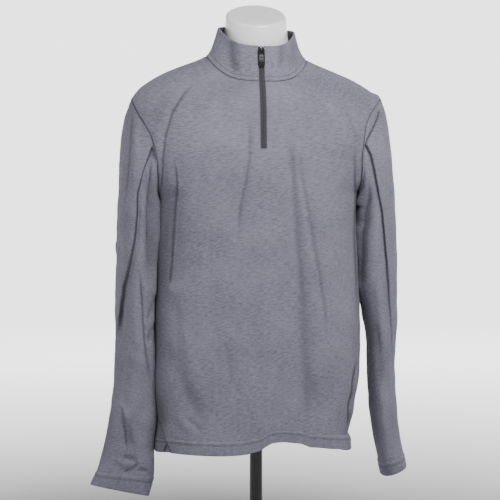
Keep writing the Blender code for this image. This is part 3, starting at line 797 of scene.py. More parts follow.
# The creases' letters in the tables of folds.
T, R, S, P = Crease.TROUGH, Crease.RIDGE, Crease.STEP, Crease.PINCH
# A fold's shade is painted shade that darkens the cloth's colour along its line; folds of little depth and
# much shade paint a band of shade alone.
FRONT_FOLDS = (
    # chest
    Fold(T, 8, 3.6, ((-12, 650), (-11, 551), (-19, 500), (-28, 464), (-34, 378)), 0.36, head=3, blur=3.2),
    Fold(T, 11, 4.4, ((56, 604), (68, 548), (73, 484), (78, 406), (88, 298), (91, 190)), 0.3, head=5, blur=6),
    Fold(
        T, 10, 4.2, ((75, 574), (86, 516), (101, 442), (112, 376), (129, 279), (134, 190)),
        0.3, head=5, blur=4,
    ),
    Fold(R, 9, 2.4, ((66, 590), (78, 527), (84, 480), (94, 400), (107, 300)), head=6),
    Fold(
        T, 8, 3.0, ((-112, 692), (-135, 667), (-155, 634), (-168, 589), (-174, 540), (-178, 480)),
        0.6, 9, 6, 2.2,
    ),
    Fold(R, 15, 4.2, ((-124, 690), (-152, 655), (-170, 620), (-182, 570), (-180, 520))),
    Fold(T, 10, 2.2, ((-60, 690), (-66, 640), (-60, 585))),
    Fold(T, 12, 2.2, ((120, 650), (110, 600), (106, 540))),
    Fold(R, 15, 3.4, ((130, 650), (160, 600), (178, 540))),
    Fold(T, 8, 2.4, ((150, 668), (183, 610), (196, 560)), 0.15, blur=4),
    # left side of the body
    Fold(
        S, 34, 6.2,
        ((-156, 566), (-150, 527), (-148, 500), (-150, 474), (-153, 453), (-156, 407), (-160, 346),
         (-165, 300)),
        0.78, 11, 5,
    ),
    Fold(T, 10, 0.5, ((-166, 500), (-172, 400), (-175, 340), (-176, 280), (-176, 180)), 0.32, 3, 2.2, 13),
    Fold(R, 9, 3.4, ((-180, 550), (-179, 470), (-179, 380), (-180, 280), (-182, 180)), head=6),
    Fold(T, 13, 3.6, ((-163, 310), (-152, 250), (-140, 190), (-130, 120))),
    Fold(R, 17, 3.8, ((-150, 262), (-120, 140), (-80, 60))),
    Fold(T, 13, 3.6, ((-168, 200), (-132, 100), (-95, 30))),
    Fold(S, 20, -6.0, ((-196, 150), (-192, 95), (-183, 51), (-171, 15), (-157, -14)), 0.95, 20, blur=2.2),
    Fold(T, 12, 0.5, ((-184, 110), (-180, 70), (-176, 30)), 0.35, 3, 3, 9),
    Fold(P, 2.5, 1.2, ((-170, 14), (-172, 4), (-176, -9)), 0.8, 8, 8, 1.7),
    Fold(T, 6, 2.6, ((-136, 62), (-118, 48), (-98, 28)), 0.2, blur=3),
    Fold(R, 8, 1.8, ((-150, 70), (-136, 44), (-118, 34))),
    Fold(T, 9, 1.8, ((-60, 216), (-50, 170), (-44, 130)), 0.12, 3, 3, 4),
    # middle and right side of the body
    Fold(T, 16, 2.6, ((-70, 420), (-84, 320), (-80, 220), (-60, 120))),
    Fold(T, 14, 2.6, ((-10, 330), (-4, 220), (6, 110), (12, 40))),
    Fold(T, 15, 3.8, ((160, 420), (166, 320), (156, 210), (150, 120), (146, 50))),
    Fold(R, 15, 3.0, ((126, 300), (120, 180), (112, 80))),
    Fold(T, 12, 2.6, ((34, 150), (36, 90), (30, 20))),
    Fold(T, 12, 5.0, ((84, 330), (88, 262), (92, 198), (96, 135), (98, 71), (98, 0)), 0.26, 3, 3, 9),
    Fold(R, 12, 2.6, ((120, 260), (124, 130), (126, 50))),
    Fold(T, 12, 2.6, ((112, 140), (108, 80), (104, 10))),
    Fold(
        P, 5, 1.6, ((184, 596), (186, 520), (188, 460), (187, 400), (190, 320), (191, 230)),
        0.65, 3, 4, 2.4,
    ),
    Fold(P, 4, 2.4, ((191, 171), (184, 128), (182, 106), (175, 82), (175, 62), (172, 32)), 0.8, 5, 6),
)
BACK_FOLDS = (
    Fold(T, 13, 5.0, ((-120, 560), (-100, 420), (-92, 250), (-80, 90)), 0.16, 3, 3, 7),
    Fold(T, 12, 4.2, ((-40, 480), (-30, 330), (-36, 160)), 0.12, 3, 3, 6),
    Fold(T, 13, 5.0, ((70, 530), (60, 380), (66, 200), (74, 60)), 0.16, 3, 3, 7),
    Fold(T, 13, 4.6, ((150, 540), (132, 420), (126, 280), (140, 150)), 0.14, 3, 3, 7),
    Fold(R, 15, 3.4, ((-160, 620), (-150, 540), (-160, 440))),
    Fold(R, 13, 2.6, ((20, 560), (14, 400), (22, 240))),
    Fold(R, 12, 2.6, ((98, 480), (92, 340), (100, 200))),
    Fold(T, 8, 3.0, ((-166, 470), (-150, 360), (-156, 250)), 0.2, blur=3),
    Fold(T, 8, 3.0, ((-90, 660), (-122, 600), (-132, 540)), 0.2, blur=3),
    Fold(T, 8, 3.0, ((88, 664), (122, 606), (134, 548)), 0.2, blur=3),
    Fold(T, 12, 2.4, ((0, 140), (6, 70), (2, 10))),
    Fold(T, 11, 2.4, ((-126, 120), (-120, 60), (-124, 8))),
    Fold(R, 13, 2.4, ((100, 150), (104, 80), (98, 12))),
)
SIDE_FOLDS = (
    Fold(T, 9, 3.4, ((12, 432), (38, 408), (64, 422)), 0.14, blur=4),
    Fold(R, 8, 2.2, ((14, 400), (38, 380), (60, 392))),
    Fold(T, 8, 3.0, ((12, 374), (36, 352), (60, 366)), 0.14, blur=4),
    Fold(T, 9, 3.2, ((34, 330), (16, 270), (24, 200)), 0.12, 3, 3, 4),
    Fold(R, 9, 2.4, ((48, 322), (32, 262), (38, 190))),
    Fold(T, 9, 3.0, ((16, 610), (28, 540), (18, 480)), 0.1, 3, 3, 5),
    Fold(T, 7, 2.4, ((6, 120), (22, 96), (36, 108)), 0.12, blur=4),
    Fold(T, 7, 2.2, ((6, 66), (18, 48), (32, 56))),
)
SLEEVE_LEFT_FOLDS = (
    Fold(
        S, 14, 10.0,
        ((-194, 572), (-211, 523), (-222, 484), (-223, 445), (-228, 397), (-234, 367), (-240, 344),
         (-250, 308), (-256, 270), (-263, 226), (-267, 190)),
        0.95, 9, 60, 1.5,
    ),
    Fold(P, 4, 3.0, ((-197, 548), (-197, 492), (-199, 443), (-199, 395), (-198, 350)), 0.7, head=5, blur=2.2),
    Fold(T, 10, 4.0, ((-196, 530), (-198, 443), (-198, 395), (-198, 336), (-196, 294)), 0.5, 3, 5, 10),
    Fold(T, 7, 2.8, ((-232, 646), (-236, 585), (-238, 545), (-243, 498), (-248, 444)), 0.42, 3, 6, 2.2),
    Fold(R, 8, 2.6, ((-222, 640), (-225, 590), (-226, 540))),
    Fold(
        P, 4, 3.0, ((-219, 355), (-213, 284), (-211, 242), (-207, 190), (-203, 150), (-200, 100)),
        0.55, 3, 4, 2.2,
    ),
    Fold(R, 9, 2.6, ((-228, 330), (-226, 250), (-224, 180))),
    Fold(T, 7, 3.0, ((-190, 300), (-199, 272), (-206, 236)), 0.35),
    Fold(T, 6, 2.6, ((-188, 250), (-200, 226), (-204, 196)), 0.35),
    Fold(T, 10, 3.0, ((-240, 180), (-246, 120), (-250, 60))),
    Fold(S, 16, -4.0, ((-254, 88), (-248, 60), (-245, 30), (-243, -4)), 0.3, blur=4),
    Fold(T, 9, 0.6, ((-243, 76), (-238, 40), (-236, 0)), 0.28, 3, 3, 8),
    Fold(R, 8, 3.0, ((-249, 80), (-240, 50), (-230, 22), (-220, 14))),
    Fold(T, 9, 2.6, ((-214, 96), (-222, 50), (-216, 6))),
    Fold(T, 4.5, 3.2, ((-221, -24), (-231, -36), (-253, -45)), 0.45, blur=3),
    Fold(T, 4, 2.6, ((-226, -39), (-204, -41)), 0.35, blur=2.6),
    Fold(T, 6, 3.0, ((-254, -13), (-238, -18), (-222, -22)), 0.3, blur=4),
    Fold(R, 6, 2.0, ((-268, -14), (-252, -26), (-236, -30))),
    Fold(T, 8, 2.4, ((-262, 420), (-254, 360), (-262, 300))),
)
SLEEVE_RIGHT_FOLDS = (
    Fold(
        S, 14, -10.0,
        ((204, 582), (217, 555), (224, 526), (232, 479), (237, 456), (242, 416), (246.5, 369),
         (251, 317), (255.5, 262), (258.5, 207), (260.5, 160), (261.5, 110)),
        0.92, 1.7, 60, 1.4,
    ),
    Fold(P, 4, 3.0, ((214, 520), (207, 452), (203, 397), (203, 336), (210, 270)), 0.65, head=5),
    Fold(T, 8, 3.4, ((217, 511), (209, 452), (204, 397), (205, 336), (216, 268)), 0.34, 3, 5, 6),
    Fold(R, 5, 2.6, ((196, 440), (194, 400), (196, 350))),
    Fold(P, 3.5, 3.0, ((233, 640), (230, 626), (220, 604), (208, 582), (203, 566)), 0.9, 9, 14, 1.6),
    Fold(T, 7, 2.6, ((215, 640), (203, 604), (203, 592)), 0.2, blur=3),
    Fold(P, 3.5, 2.6, ((203, 574), (199, 521), (194, 492)), 0.5, 5),
    Fold(T, 5, 5.0, ((188, 462), (194, 456), (200, 464)), 0.95, 6, 6, 3.4),
    Fold(T, 9, 1.6, ((194, 464), (198, 440), (198, 412)), 0.4, 3, 5, 7),
    Fold(T, 7, 2.8, ((244, 600), (252, 520), (256, 440))),
    Fold(T, 9, 2.8, ((262, 420), (264, 340), (262, 250))),
    Fold(R, 8, 2.6, ((228, 330), (236, 250), (240, 180))),
    Fold(T, 8, 2.8, ((226, 250), (232, 170), (236, 110))),
    Fold(T, 7, 2.6, ((250, 160), (246, 90), (252, 30))),
    Fold(R, 8, 2.6, ((240, 120), (246, 40), (250, -10))),
    Fold(T, 7, 2.4, ((262, 60), (266, 20), (262, -20))),
)


HEM_LIFT = Table(
    "across lift",
    [
        (-193, 3), (-156, 6.5), (-72, 5.6), (-40, 6.7), (-19, 8.8), (-8, 11.5), (7, 15.5), (20, 24.0),
        (31, 29.2), (50, 31), (65, 29.3), (82, 27), (92, 23.4), (101, 19.3), (118, 17), (141, 12.5),
        (155, 10), (177, 2), (190, 0),
    ],
)
HEM_DRAW = Table(
    "up draw",
    [
        (0, 10), (10, 11), (19, 11.5), (30, 16.5), (42, 14), (55, 11.4), (76, 6.8), (99, 6), (118, 3),
        (140, 0.8), (160, 0),
    ],
)


def hem_rise(points: Array) -> Array:
    """How far the front hem is lifted, its wave above all, fading upwards to HEM_WAVE_UP."""
    across, _ = seen(points)
    fade = np.clip(1 - points[..., 2] / HEM_WAVE_UP, 0.0, 1.0) ** 2
    return HEM_LIFT.read("lift", across) * fade * smooth(-points[..., 1] / 60.0)


def hem_band(height: Array, depth: float, proud: float) -> Array:
    """A turned-up hem standing proud up to its depth, with a groove under its lower stitches."""
    groove = 0.7 * bell(height - depth + STITCHES_DOWN[1], 1.2)
    return proud * (1 - smooth((height - depth + 1.0) / 2.2)) - groove


def turned_layer(height: Array, depth: float) -> Array:
    """How much thicker the wall is where its hem is turned up, thinned at the rolled edge."""
    return 1 - smooth((height - depth) / 1.5) - round_over(height, *FREE_ROLL)


def body_smooth(turn: Array, up: Array) -> Array:
    """The worn body's face before its folds: turn 0 is the front, 90 the +X side, 180 the back.

    The +X shoulder hangs lower by SHOULDER_TILT and the other as much higher, NECK_TILT at the
    neck. The hem's +X corner is drawn in by HEM_DRAW, the other let out by CORNER_LET_OUT.
    """
    turn, up = same_shape(turn, up)
    columns = [BODY.read(name, up) for name in ("half_width", "front", "back", "square")]
    place = ring_point(turn, *columns, up, BODY.read("front_up", up), BODY.read("back_up", up))
    side = np.sin(np.radians(turn))
    tilt = NECK_TILT + (SHOULDER_TILT - NECK_TILT) * smooth((NECK_SIDE_UP - up) / 34.0)
    place[..., 2] -= tilt * side * smooth((up - SHOULDER_UP - 1.0) / 16.0)
    place[..., 0] -= HEM_DRAW.read("draw", up) * smooth(side * 2 - 1)
    place[..., 0] -= CORNER_LET_OUT * smooth(-side * 2 - 1) * smooth((70.0 - up) / 50.0)
    return place


def collar_smooth(turn: Array, rise: Array) -> Array:
    """The collar's face, from the neck seam at rise 0 to the top edge at rise 1."""
    turn, rise = same_shape(turn, rise)
    columns = [COLLAR.read(name, rise) for name in ("half_width", "front", "back")]
    heights = [COLLAR.read(name, rise) for name in ("side_up", "front_up", "back_up")]
    place = ring_point(turn, *columns, 0.0, *heights)
    place[..., 2] -= NECK_TILT * np.sin(np.radians(turn))
    return place


def zip_centre(up: Array) -> Array:
    """How far the zip's line leans across, nothing at the neck."""
    return ZIP_LEAN * smooth((700.0 - up) / 120.0)


def armhole_cut(height: Array, side: int) -> Array:
    """How deep the armhole is cut, as a share of its spread, at a height from -1 to 1.

    It is (1 - h^n)^(1/n), with n from ARMHOLE_POWER above the middle and 2 below it.
    """
    power = np.where(height > 0, ARMHOLE_POWER[side], 2.0)
    return (1 - np.minimum(np.abs(height), 1.0) ** power) ** (1 / power)


def armhole_point(turn: Array, side: int, gap: float = 0.0) -> Array:
    """The armhole's line, drawn on the +X side: turn 0 is the shoulder's end and 90 the front."""
    angle = np.radians(turn)
    spread = ARMHOLE_SPREAD[side] - math.degrees(gap / BODY.read("half_width", ARMHOLE_UP))
    up = ARMHOLE_UP + (ARMHOLE_RISE - gap) * np.cos(angle)
    cut = armhole_cut(np.cos(angle), side) * np.sign(np.sin(angle))
    return body_smooth(90.0 - spread * cut, up)


def sleeve_smooth(table: Table, side: int, turn: Array, along: Array) -> Array:
    """A sleeve's face on the +X side before its folds: turn 0 is its outside, 90 its front."""
    turn, along = same_shape(turn, along)
    angle = np.radians(turn)

    def ring(at: Array) -> Array:
        """The tube's own ring, an oval between its outer and inner points."""
        out = np.stack([table.read("out", at), 0 * at, table.read("out_up", at)], -1)
        inner = np.stack([table.read("inner", at), 0 * at, table.read("inner_up", at)], -1)
        depth = np.where(np.sin(angle) > 0, table.read("front", at), table.read("back", at))
        bulge = 1 + 0.05 * np.sin(2 * angle) ** 2
        place = (out + inner) / 2 + (out - inner) / 2 * (np.cos(angle) * bulge)[..., None]
        place[..., 1] -= depth * np.sin(angle) * bulge
        return place

    start = armhole_point(turn, side, ARMHOLE_GAP)
    hold = 1 - smooth(along / ARMHOLE_HOLD)
    return ring(along) + hold[..., None] * (start - ring(0 * along))


def round_over(edge: Array, radius: float, depth: float) -> Array:
    """How far a seam's rolled edge dips, this far from it: depth at the edge, 0 past the radius."""
    t = np.clip(1 - edge / radius, 0.0, 1.0)
    return depth * (1 - np.sqrt(1 - (0.995 * t) ** 2))


def lerp_columns(edges: Sequence[Array], counts: Sequence[int], lean: Sequence[float]) -> Array:
    """Fills columns between named edges at each height.

    Args:
        edges: each edge's turn at every row.
        counts: how many columns lie between each pair.
        lean: for each pair, over 1 to crowd columns towards both its edges, else 1.

    Returns:
        Rows by columns of turns, the last edge included.
    """
    parts = []
    for (low, high), count, power in zip(zip(edges[:-1], edges[1:]), counts, lean):
        t = np.arange(count) / count
        t = np.where(t < 0.5, 0.5 * (2 * t) ** power, 1 - 0.5 * (2 - 2 * t) ** power)
        parts.append(low[:, None] + (high - low)[:, None] * t)
    parts.append(edges[-1][:, None])
    return np.concatenate(parts, axis=1)


def rows_between(ends: Sequence[float], counts: Sequence[int]) -> Array:
    """Even rows between successive ends, each end once."""
    parts = [np.linspace(a, b, n, endpoint=False) for a, b, n in zip(ends[:-1], ends[1:], counts)]
    return np.concatenate([*parts, [ends[-1]]])


@dataclass
class DrapedBody:
    """The body's cloth: one surface from which the front and back panels are cut."""

    front_folds: Sequence[Fold] = FRONT_FOLDS
    back_folds: Sequence[Fold] = BACK_FOLDS
    radius: float = 190.0

    def face(self, turn: Array, up: Array, drawn: Number = 0.0) -> tuple[Array, Array]:
        """Places the cloth's outer face, or one drawn inwards from it.

        Args:
            turn: degrees round from the front.
            up: ring heights.
            drawn: how far inwards from the outer face.

        Returns:
            The points, and the painted shade of creases there.
        """
        turn, up = same_shape(turn, up)
        base = body_smooth(turn, up)
        normal = faces_out(body_smooth, turn, up, *BODY_STEPS)
        ahead = np.cos(np.radians(turn))
        front, front_dark = fold_field(*seen(base), self.front_folds)
        behind, back_dark = fold_field(*seen_behind(base), self.back_folds)
        front_share = smooth(ahead * 3)
        back_share = smooth(-ahead * 3)
        lift = front * front_share + behind * back_share
        lift += self.unevenness(turn, up)
        place = base + normal * (lift - drawn)[..., None]
        place[..., 2] += hem_rise(base)
        return place, np.maximum(front_dark * front_share, back_dark * back_share)

    def unevenness(self, turn: Array, up: Array) -> Array:
        """Slight swells in the cloth, nothing at the hem and the neck."""
        arc = np.radians(turn) * self.radius
        swell = 0.55 * wander(arc, up * 0.6, 70.0, 3) + 0.22 * wander(arc, up * 0.8, 26.0, 5)
        return swell * smooth(up / 30.0) * smooth((735.0 - up) / 60.0)


@dataclass
class DrapedSleeve:
    """One sleeve's cloth as a tube."""

    table: Table
    folds: Sequence[Fold]
    side: int
    tuck: float
    tuck_ease: float
    tuck_end: float
    tuck_turn: float = 153.0
    tuck_width: float = 20.0
    rear_shift: tuple[float, float] = (8.0, -40.0)
    radius: float = 45.0

    @property
    def length(self) -> float:
        """From the armhole to the cuff's edge."""
        return float(self.table.rows[-1, 0])

    def face(self, turn: Array, along: Array, drawn: Number = 0.0) -> tuple[Array, Array]:
        """Places the sleeve's outer face, or one drawn inwards from it.

        The rear has the front's folds but the first, moved by rear_shift.

        Args:
            turn: degrees round from the outside of the arm, 90 at the front.
            along: how far down from the armhole.
            drawn: how far inwards from the outer face.

        Returns:
            The points on this sleeve's own side, and the painted shade of creases there.
        """
        turn, along = same_shape(turn, along)
        surface = partial(sleeve_smooth, self.table, self.side)
        base = surface(turn, along)
        normal = faces_out(surface, turn, along, *SLEEVE_STEPS)
        base[..., 0] *= self.side
        normal[..., 0] *= self.side
        facing = smooth(np.sin(np.radians(turn)) * 2)
        away = smooth(-np.sin(np.radians(turn)) * 2)
        across, height = seen(base)
        lift, dark = fold_field(across, height, self.folds)
        over, down = self.rear_shift
        rear, rear_dark = fold_field(across + over * self.side, height + down, self.folds[1:])
        outside = smooth(np.cos(np.radians(turn)) * 2) * (1 - facing)
        beside, beside_dark = fold_field(base[..., 1], base[..., 2], SIDE_FOLDS)
        settle = smooth(along / 14.0)
        lift = (lift * facing + rear * away + beside * outside) * settle + self.unevenness(turn, along)
        lift += self.tuck * bell(ring_side(turn) - self.tuck_turn, self.tuck_width) * self.leans(along)
        place = base + normal * (lift - drawn)[..., None]
        return place, np.maximum.reduce([dark * facing, rear_dark * away, beside_dark * outside]) * settle

    def leans(self, along: Array) -> Array:
        """How much the sleeve's inner side bulges round the body's, from 0 to 1."""
        held = 1 - self.tuck_ease * smooth(along / ARMHOLE_HOLD - 1)
        return smooth(along / 50.0) * held * (1 - smooth((along - self.tuck_end) / 60.0))

    def unevenness(self, turn: Array, along: Array) -> Array:
        """Slight swells in the cloth, the same at both ends of the turn."""
        out, ahead = np.cos(np.radians(turn)), np.sin(np.radians(turn))
        arc = self.radius * out + self.radius * ahead
        other = self.radius * ahead - 30.0 * out
        swell = 0.6 * wander(arc, along * 0.7, 55.0, 11 + self.side)
        swell += 0.35 * wander(other, along, 24.0, 17 + self.side)
        return swell * smooth(along / 40.0) * smooth((self.length - along) / 30.0)


# Finishes


class Sock:
    """A number or colour in a material's nodes, with arithmetic that adds Math nodes."""

    def __init__(self, shader: "Shader", socket: bpy.types.NodeSocket) -> None:
        """Keeps the socket and the shader it belongs to."""
        self.shader = shader
        self.socket = socket

    def __add__(self, other: "Sock | float") -> "Sock":
        """This plus other."""
        return self.shader.maths("ADD", self, other)

    def __sub__(self, other: "Sock | float") -> "Sock":
        """This less other."""
        return self.shader.maths("SUBTRACT", self, other)

    def __rsub__(self, other: float) -> "Sock":
        """Other less this."""
        return self.shader.maths("SUBTRACT", other, self)

    def __mul__(self, other: "Sock | float") -> "Sock":
        """This times other."""
        return self.shader.maths("MULTIPLY", self, other)

    def power(self, other: float) -> "Sock":
        """This to the power of other."""
        return self.shader.maths("POWER", self, other)

    def wave(self, length: float) -> "Sock":
        """The sine of this over a wavelength, from -1 to 1."""
        return self.shader.maths("SINE", self * (2 * math.pi / length))

    def clamped(self) -> "Sock":
        """This kept between 0 and 1."""
        return self.shader.maths("MINIMUM", self.shader.maths("MAXIMUM", self, 0.0), 1.0)

    __radd__ = __add__
    __rmul__ = __mul__


Value = Sock | float | tuple[float, ...]


class Shader:
    """A material's nodes, built by expressions."""

    def __init__(self, name: str) -> None:
        """Starts a material with a Principled shader alone."""
        self.material = bpy.data.materials.new(name)
        self.material.use_nodes = True
        self.nodes = self.material.node_tree.nodes
        self.links = self.material.node_tree.links
        self.surface = self.nodes["Principled BSDF"]

    def feed(self, socket: bpy.types.NodeSocket, value: Value) -> None:
        """Links a socket, or sets its own value."""
        if isinstance(value, Sock):
            self.links.new(value.socket, socket)
        elif isinstance(value, tuple) and len(value) == 3 and socket.type == "RGBA":
            socket.default_value = (*value, 1.0)
        else:
            socket.default_value = value

    def node(self, kind: str, output: str | int = 0, settings: dict | None = None, **values: Value) -> Sock:
        """Adds a node.

        Args:
            kind: its type.
            output: the output that is wanted.
            settings: the node's own properties, set first.
            values: each socket's value or link, by name, or by place as s0, s1 and so on.

        Returns:
            The output.
        """
        made = self.nodes.new(kind)
        for key, value in (settings or {}).items():
            setattr(made, key, value)
        for key, value in values.items():
            place = int(key[1:]) if key[0] == "s" and key[1:].isdigit() else key.replace("_", " ")
            self.feed(made.inputs[place], value)
        return Sock(self, made.outputs[output])

    def maths(self, operation: str, first: Value, second: Value = 0.0) -> Sock:
        """One Math node."""
        return self.node("ShaderNodeMath", settings={"operation": operation}, s0=first, s1=second)

    def mix(self, share: Value, first: Value, second: Value) -> Sock:
        """A colour from first to second by share."""
        return self.node("ShaderNodeMix", 2, {"data_type": "RGBA"}, s0=share, s6=first, s7=second)

    def noise(self, where: Sock, scale: float, detail: float = 2.0, rough: float = 0.5) -> Sock:
        """Noise about 0.5."""
        return self.node(
            "ShaderNodeTexNoise", "Fac", Vector=where, Scale=scale, Detail=detail, Roughness=rough
        )

    def vector(self, operation: str, where: Sock, by: Triple) -> Sock:
        """One Vector Math node."""
        return self.node("ShaderNodeVectorMath", settings={"operation": operation}, s0=where, s1=by)

    def place(self, x: Sock, y: Sock) -> Sock:
        """A place from its first two parts."""
        return self.node("ShaderNodeCombineXYZ", s0=x, s1=y)

    def axes(self, where: Sock) -> tuple[Sock, Sock]:
        """A place's first two parts."""
        first = self.node("ShaderNodeSeparateXYZ", s0=where)
        return first, Sock(self, first.socket.node.outputs[1])

    def cloth_place(self) -> Sock:
        """The cloth's own coordinates in metres."""
        return self.node("ShaderNodeUVMap", settings={"uv_map": "cloth"})

    def own_place(self) -> Sock:
        """The object's coordinates in metres."""
        return self.node("ShaderNodeTexCoord", "Object")

    def bump(self, height: Sock, strength: float, distance: float) -> Sock:
        """A normal from heights."""
        return self.node("ShaderNodeBump", Height=height, Strength=strength, Distance=distance)

    def finish(self, **values: Value) -> bpy.types.Material:
        """Sets the Principled shader's sockets by name, spaces as underscores."""
        for key, value in values.items():
            self.feed(self.surface.inputs[key.replace("_", " ")], value)
        return self.material


def tinted(colour: Triple, share: float) -> Triple:
    """A colour with every part multiplied by share."""
    return tuple(share * part for part in colour)


@dataclass(frozen=True)
class Jersey:
    """Heather cotton jersey: fibres in several greys, thin streaks across, fine wales along."""

    light: Triple = (0.232, 0.224, 0.290)
    dark: Triple = (0.092, 0.089, 0.117)
    wale: float = 0.0011
    course: float = 0.0009
    tilt: float = 0.24
    shift: float = 0.0

    def put_on(self, item: Item, shift: float, node: str) -> None:
        """Dresses a piece that stands for a node, its pattern moved by shift."""
        dress(item, replace(self, shift=shift).make(item.name), "root", node)

    def make(self, name: str) -> bpy.types.Material:
        """Tone is streaks, fibres and slow patches in turn; painted shade from a point attribute darkens it
        in creases and by seams.
        """
        shader = Shader(name)
        shifted = shader.vector("ADD", shader.cloth_place(), (self.shift, self.shift, 0))
        across, along = shader.axes(shifted)
        bend = (shader.noise(shifted, 16.0, 1.0) - 0.5) * 0.010
        level = along - across * self.tilt + bend
        long_streak = shader.noise(shader.place(across * 95.0, level * 400.0), 1.0, 2.0, 0.6)
        short_streak = shader.noise(shader.place(across * 190.0, level * 620.0 + 7.0), 1.0, 1.0)
        fibre = shader.noise(shader.vector("MULTIPLY", shifted, (1.0, 1.4, 1.0)), 1500.0, 2.0, 0.7)
        patch = shader.noise(shifted, 11.0, 2.0)
        tone = (long_streak - 0.5) * 1.25 + (short_streak - 0.5) * 1.0 + (fibre - 0.5) * 0.8
        tone = (tone + (patch - 0.5) * 0.7 + 0.5).clamped()
        # Painted shade: the point attribute darkens the colour towards a deep tint of the dark fibres.
        crease = shader.node("ShaderNodeAttribute", "Fac", {"attribute_name": "crease"})
        colour = shader.mix(tone, self.dark, self.light)
        shaded = shader.mix(crease.clamped(), colour, tinted(self.dark, 0.18))
        rib = across.wave(self.wale) * 0.5
        loop = (along + across.wave(self.wale) * (self.course * 0.25)).wave(self.course) * 0.3
        height = rib + loop + fibre * 1.2 + long_streak * 0.15
        return shader.finish(
            Base_Color=shaded, Roughness=0.92, Sheen_Weight=0.08, Sheen_Roughness=0.5,
            Sheen_Tint=(0.9, 0.88, 0.95), Specular_IOR_Level=0.25,
            Normal=shader.bump(height, 0.35, 0.00035),
        )


@dataclass(frozen=True)
class Thread:
    """Sewing thread: the cloth's grey with a slight gloss and a twist."""

    colour: Triple = (0.30, 0.288, 0.325)

    def make(self, name: str) -> bpy.types.Material:
        """Tone varies slowly along the seam."""
        shader = Shader(name)
        where = shader.own_place()
        tone = shader.noise(where, 900.0, 2.0)
        colour = shader.mix(tone, tinted(self.colour, 0.7), self.colour)
        return shader.finish(Base_Color=colour, Roughness=0.62, Normal=shader.bump(tone, 0.3, 0.0002))


@dataclass(frozen=True)
class ZipTape:
    """Woven tape with fine lengthwise ribs and a row of turned-under teeth at its edge."""

    colour: Triple = (0.029, 0.025, 0.034)
    rib: float = 0.0013
    tooth: float = 0.0012

    def make(self, name: str) -> bpy.types.Material:
        """Ribs are a sine across the tape; teeth a sine along it within 2 mm of its edge."""
        shader = Shader(name)
        where = shader.cloth_place()
        across, along = shader.axes(where)
        rib = across.wave(self.rib) * 0.5 + 0.5
        broad = (across + 0.0012).wave(self.rib * 3.6) * 0.5 + 0.5
        fibre = shader.noise(shader.vector("MULTIPLY", where, (2.0, 0.6, 1.0)), 1500.0, 2.0)
        tooth = along.wave(self.tooth) * 0.5 + 0.5
        near = shader.maths("LESS_THAN", shader.maths("ABSOLUTE", across), 0.0022)
        tone = (rib * 0.3 + broad * 0.45 + fibre * 0.4 - 0.15).clamped()
        colour = shader.mix(tone, tinted(self.colour, 0.45), tinted(self.colour, 1.7))
        height = rib * (1 - near) + tooth * near + fibre * 0.3
        return shader.finish(
            Base_Color=colour, Roughness=0.78, Sheen_Weight=0.1, Normal=shader.bump(height, 0.5, 0.0002)
        )


@dataclass(frozen=True)
class Enamel:
    """Black enamel over metal, thin and slightly uneven."""

    colour: Triple = (0.018, 0.018, 0.021)
    roughness: float = 0.32
    grain: float = 900.0
    metallic: float = 0.35

    def make(self, name: str) -> bpy.types.Material:
        """Roughness and a shallow bump follow the same noise."""
        shader = Shader(name)
        grain = shader.noise(shader.own_place(), self.grain, 3.0)
        worn = shader.noise(shader.own_place(), self.grain / 12, 2.0)
        colour = shader.mix(worn, self.colour, tinted(self.colour, 1.8))
        return shader.finish(
            Base_Color=colour, Metallic=self.metallic, Roughness=grain * 0.16 + (self.roughness - 0.08),
            Normal=shader.bump(grain, 0.12, 0.0001),
        )


@dataclass(frozen=True)
class Rubber:
    """Moulded rubber, satin black with a fine skin."""

    colour: Triple = (0.008, 0.008, 0.009)

    def make(self, name: str) -> bpy.types.Material:
        """A fine noise gives the moulded skin."""
        shader = Shader(name)
        skin = shader.noise(shader.own_place(), 2600.0, 2.0)
        colour = shader.mix(skin, self.colour, tinted(self.colour, 1.7))
        return shader.finish(
            Base_Color=colour, Roughness=skin * 0.2 + 0.55, Specular_IOR_Level=0.14,
            Normal=shader.bump(skin, 0.15, 0.0001),
        )


@dataclass(frozen=True)
class FormShell:
    """The dress form's skin: white, satin gloss, slightly wavy as moulded shells are."""

    colour: Triple = (0.80, 0.80, 0.82)

    def make(self, name: str) -> bpy.types.Material:
        """Slow waves bend its reflections, a fine noise breaks up its gloss."""
        shader = Shader(name)
        where = shader.own_place()
        slow = shader.noise(where, 14.0, 1.0)
        fine = shader.noise(where, 420.0, 3.0)
        colour = shader.mix(slow, tinted(self.colour, 0.975), self.colour)
        return shader.finish(
            Base_Color=colour, Roughness=fine * 0.12 + 0.22, Coat_Weight=0.25, Coat_Roughness=0.12,
            Normal=shader.bump(slow * 0.7 + fine * 0.05, 0.12, 0.002),
        )


# Sub-assemblies


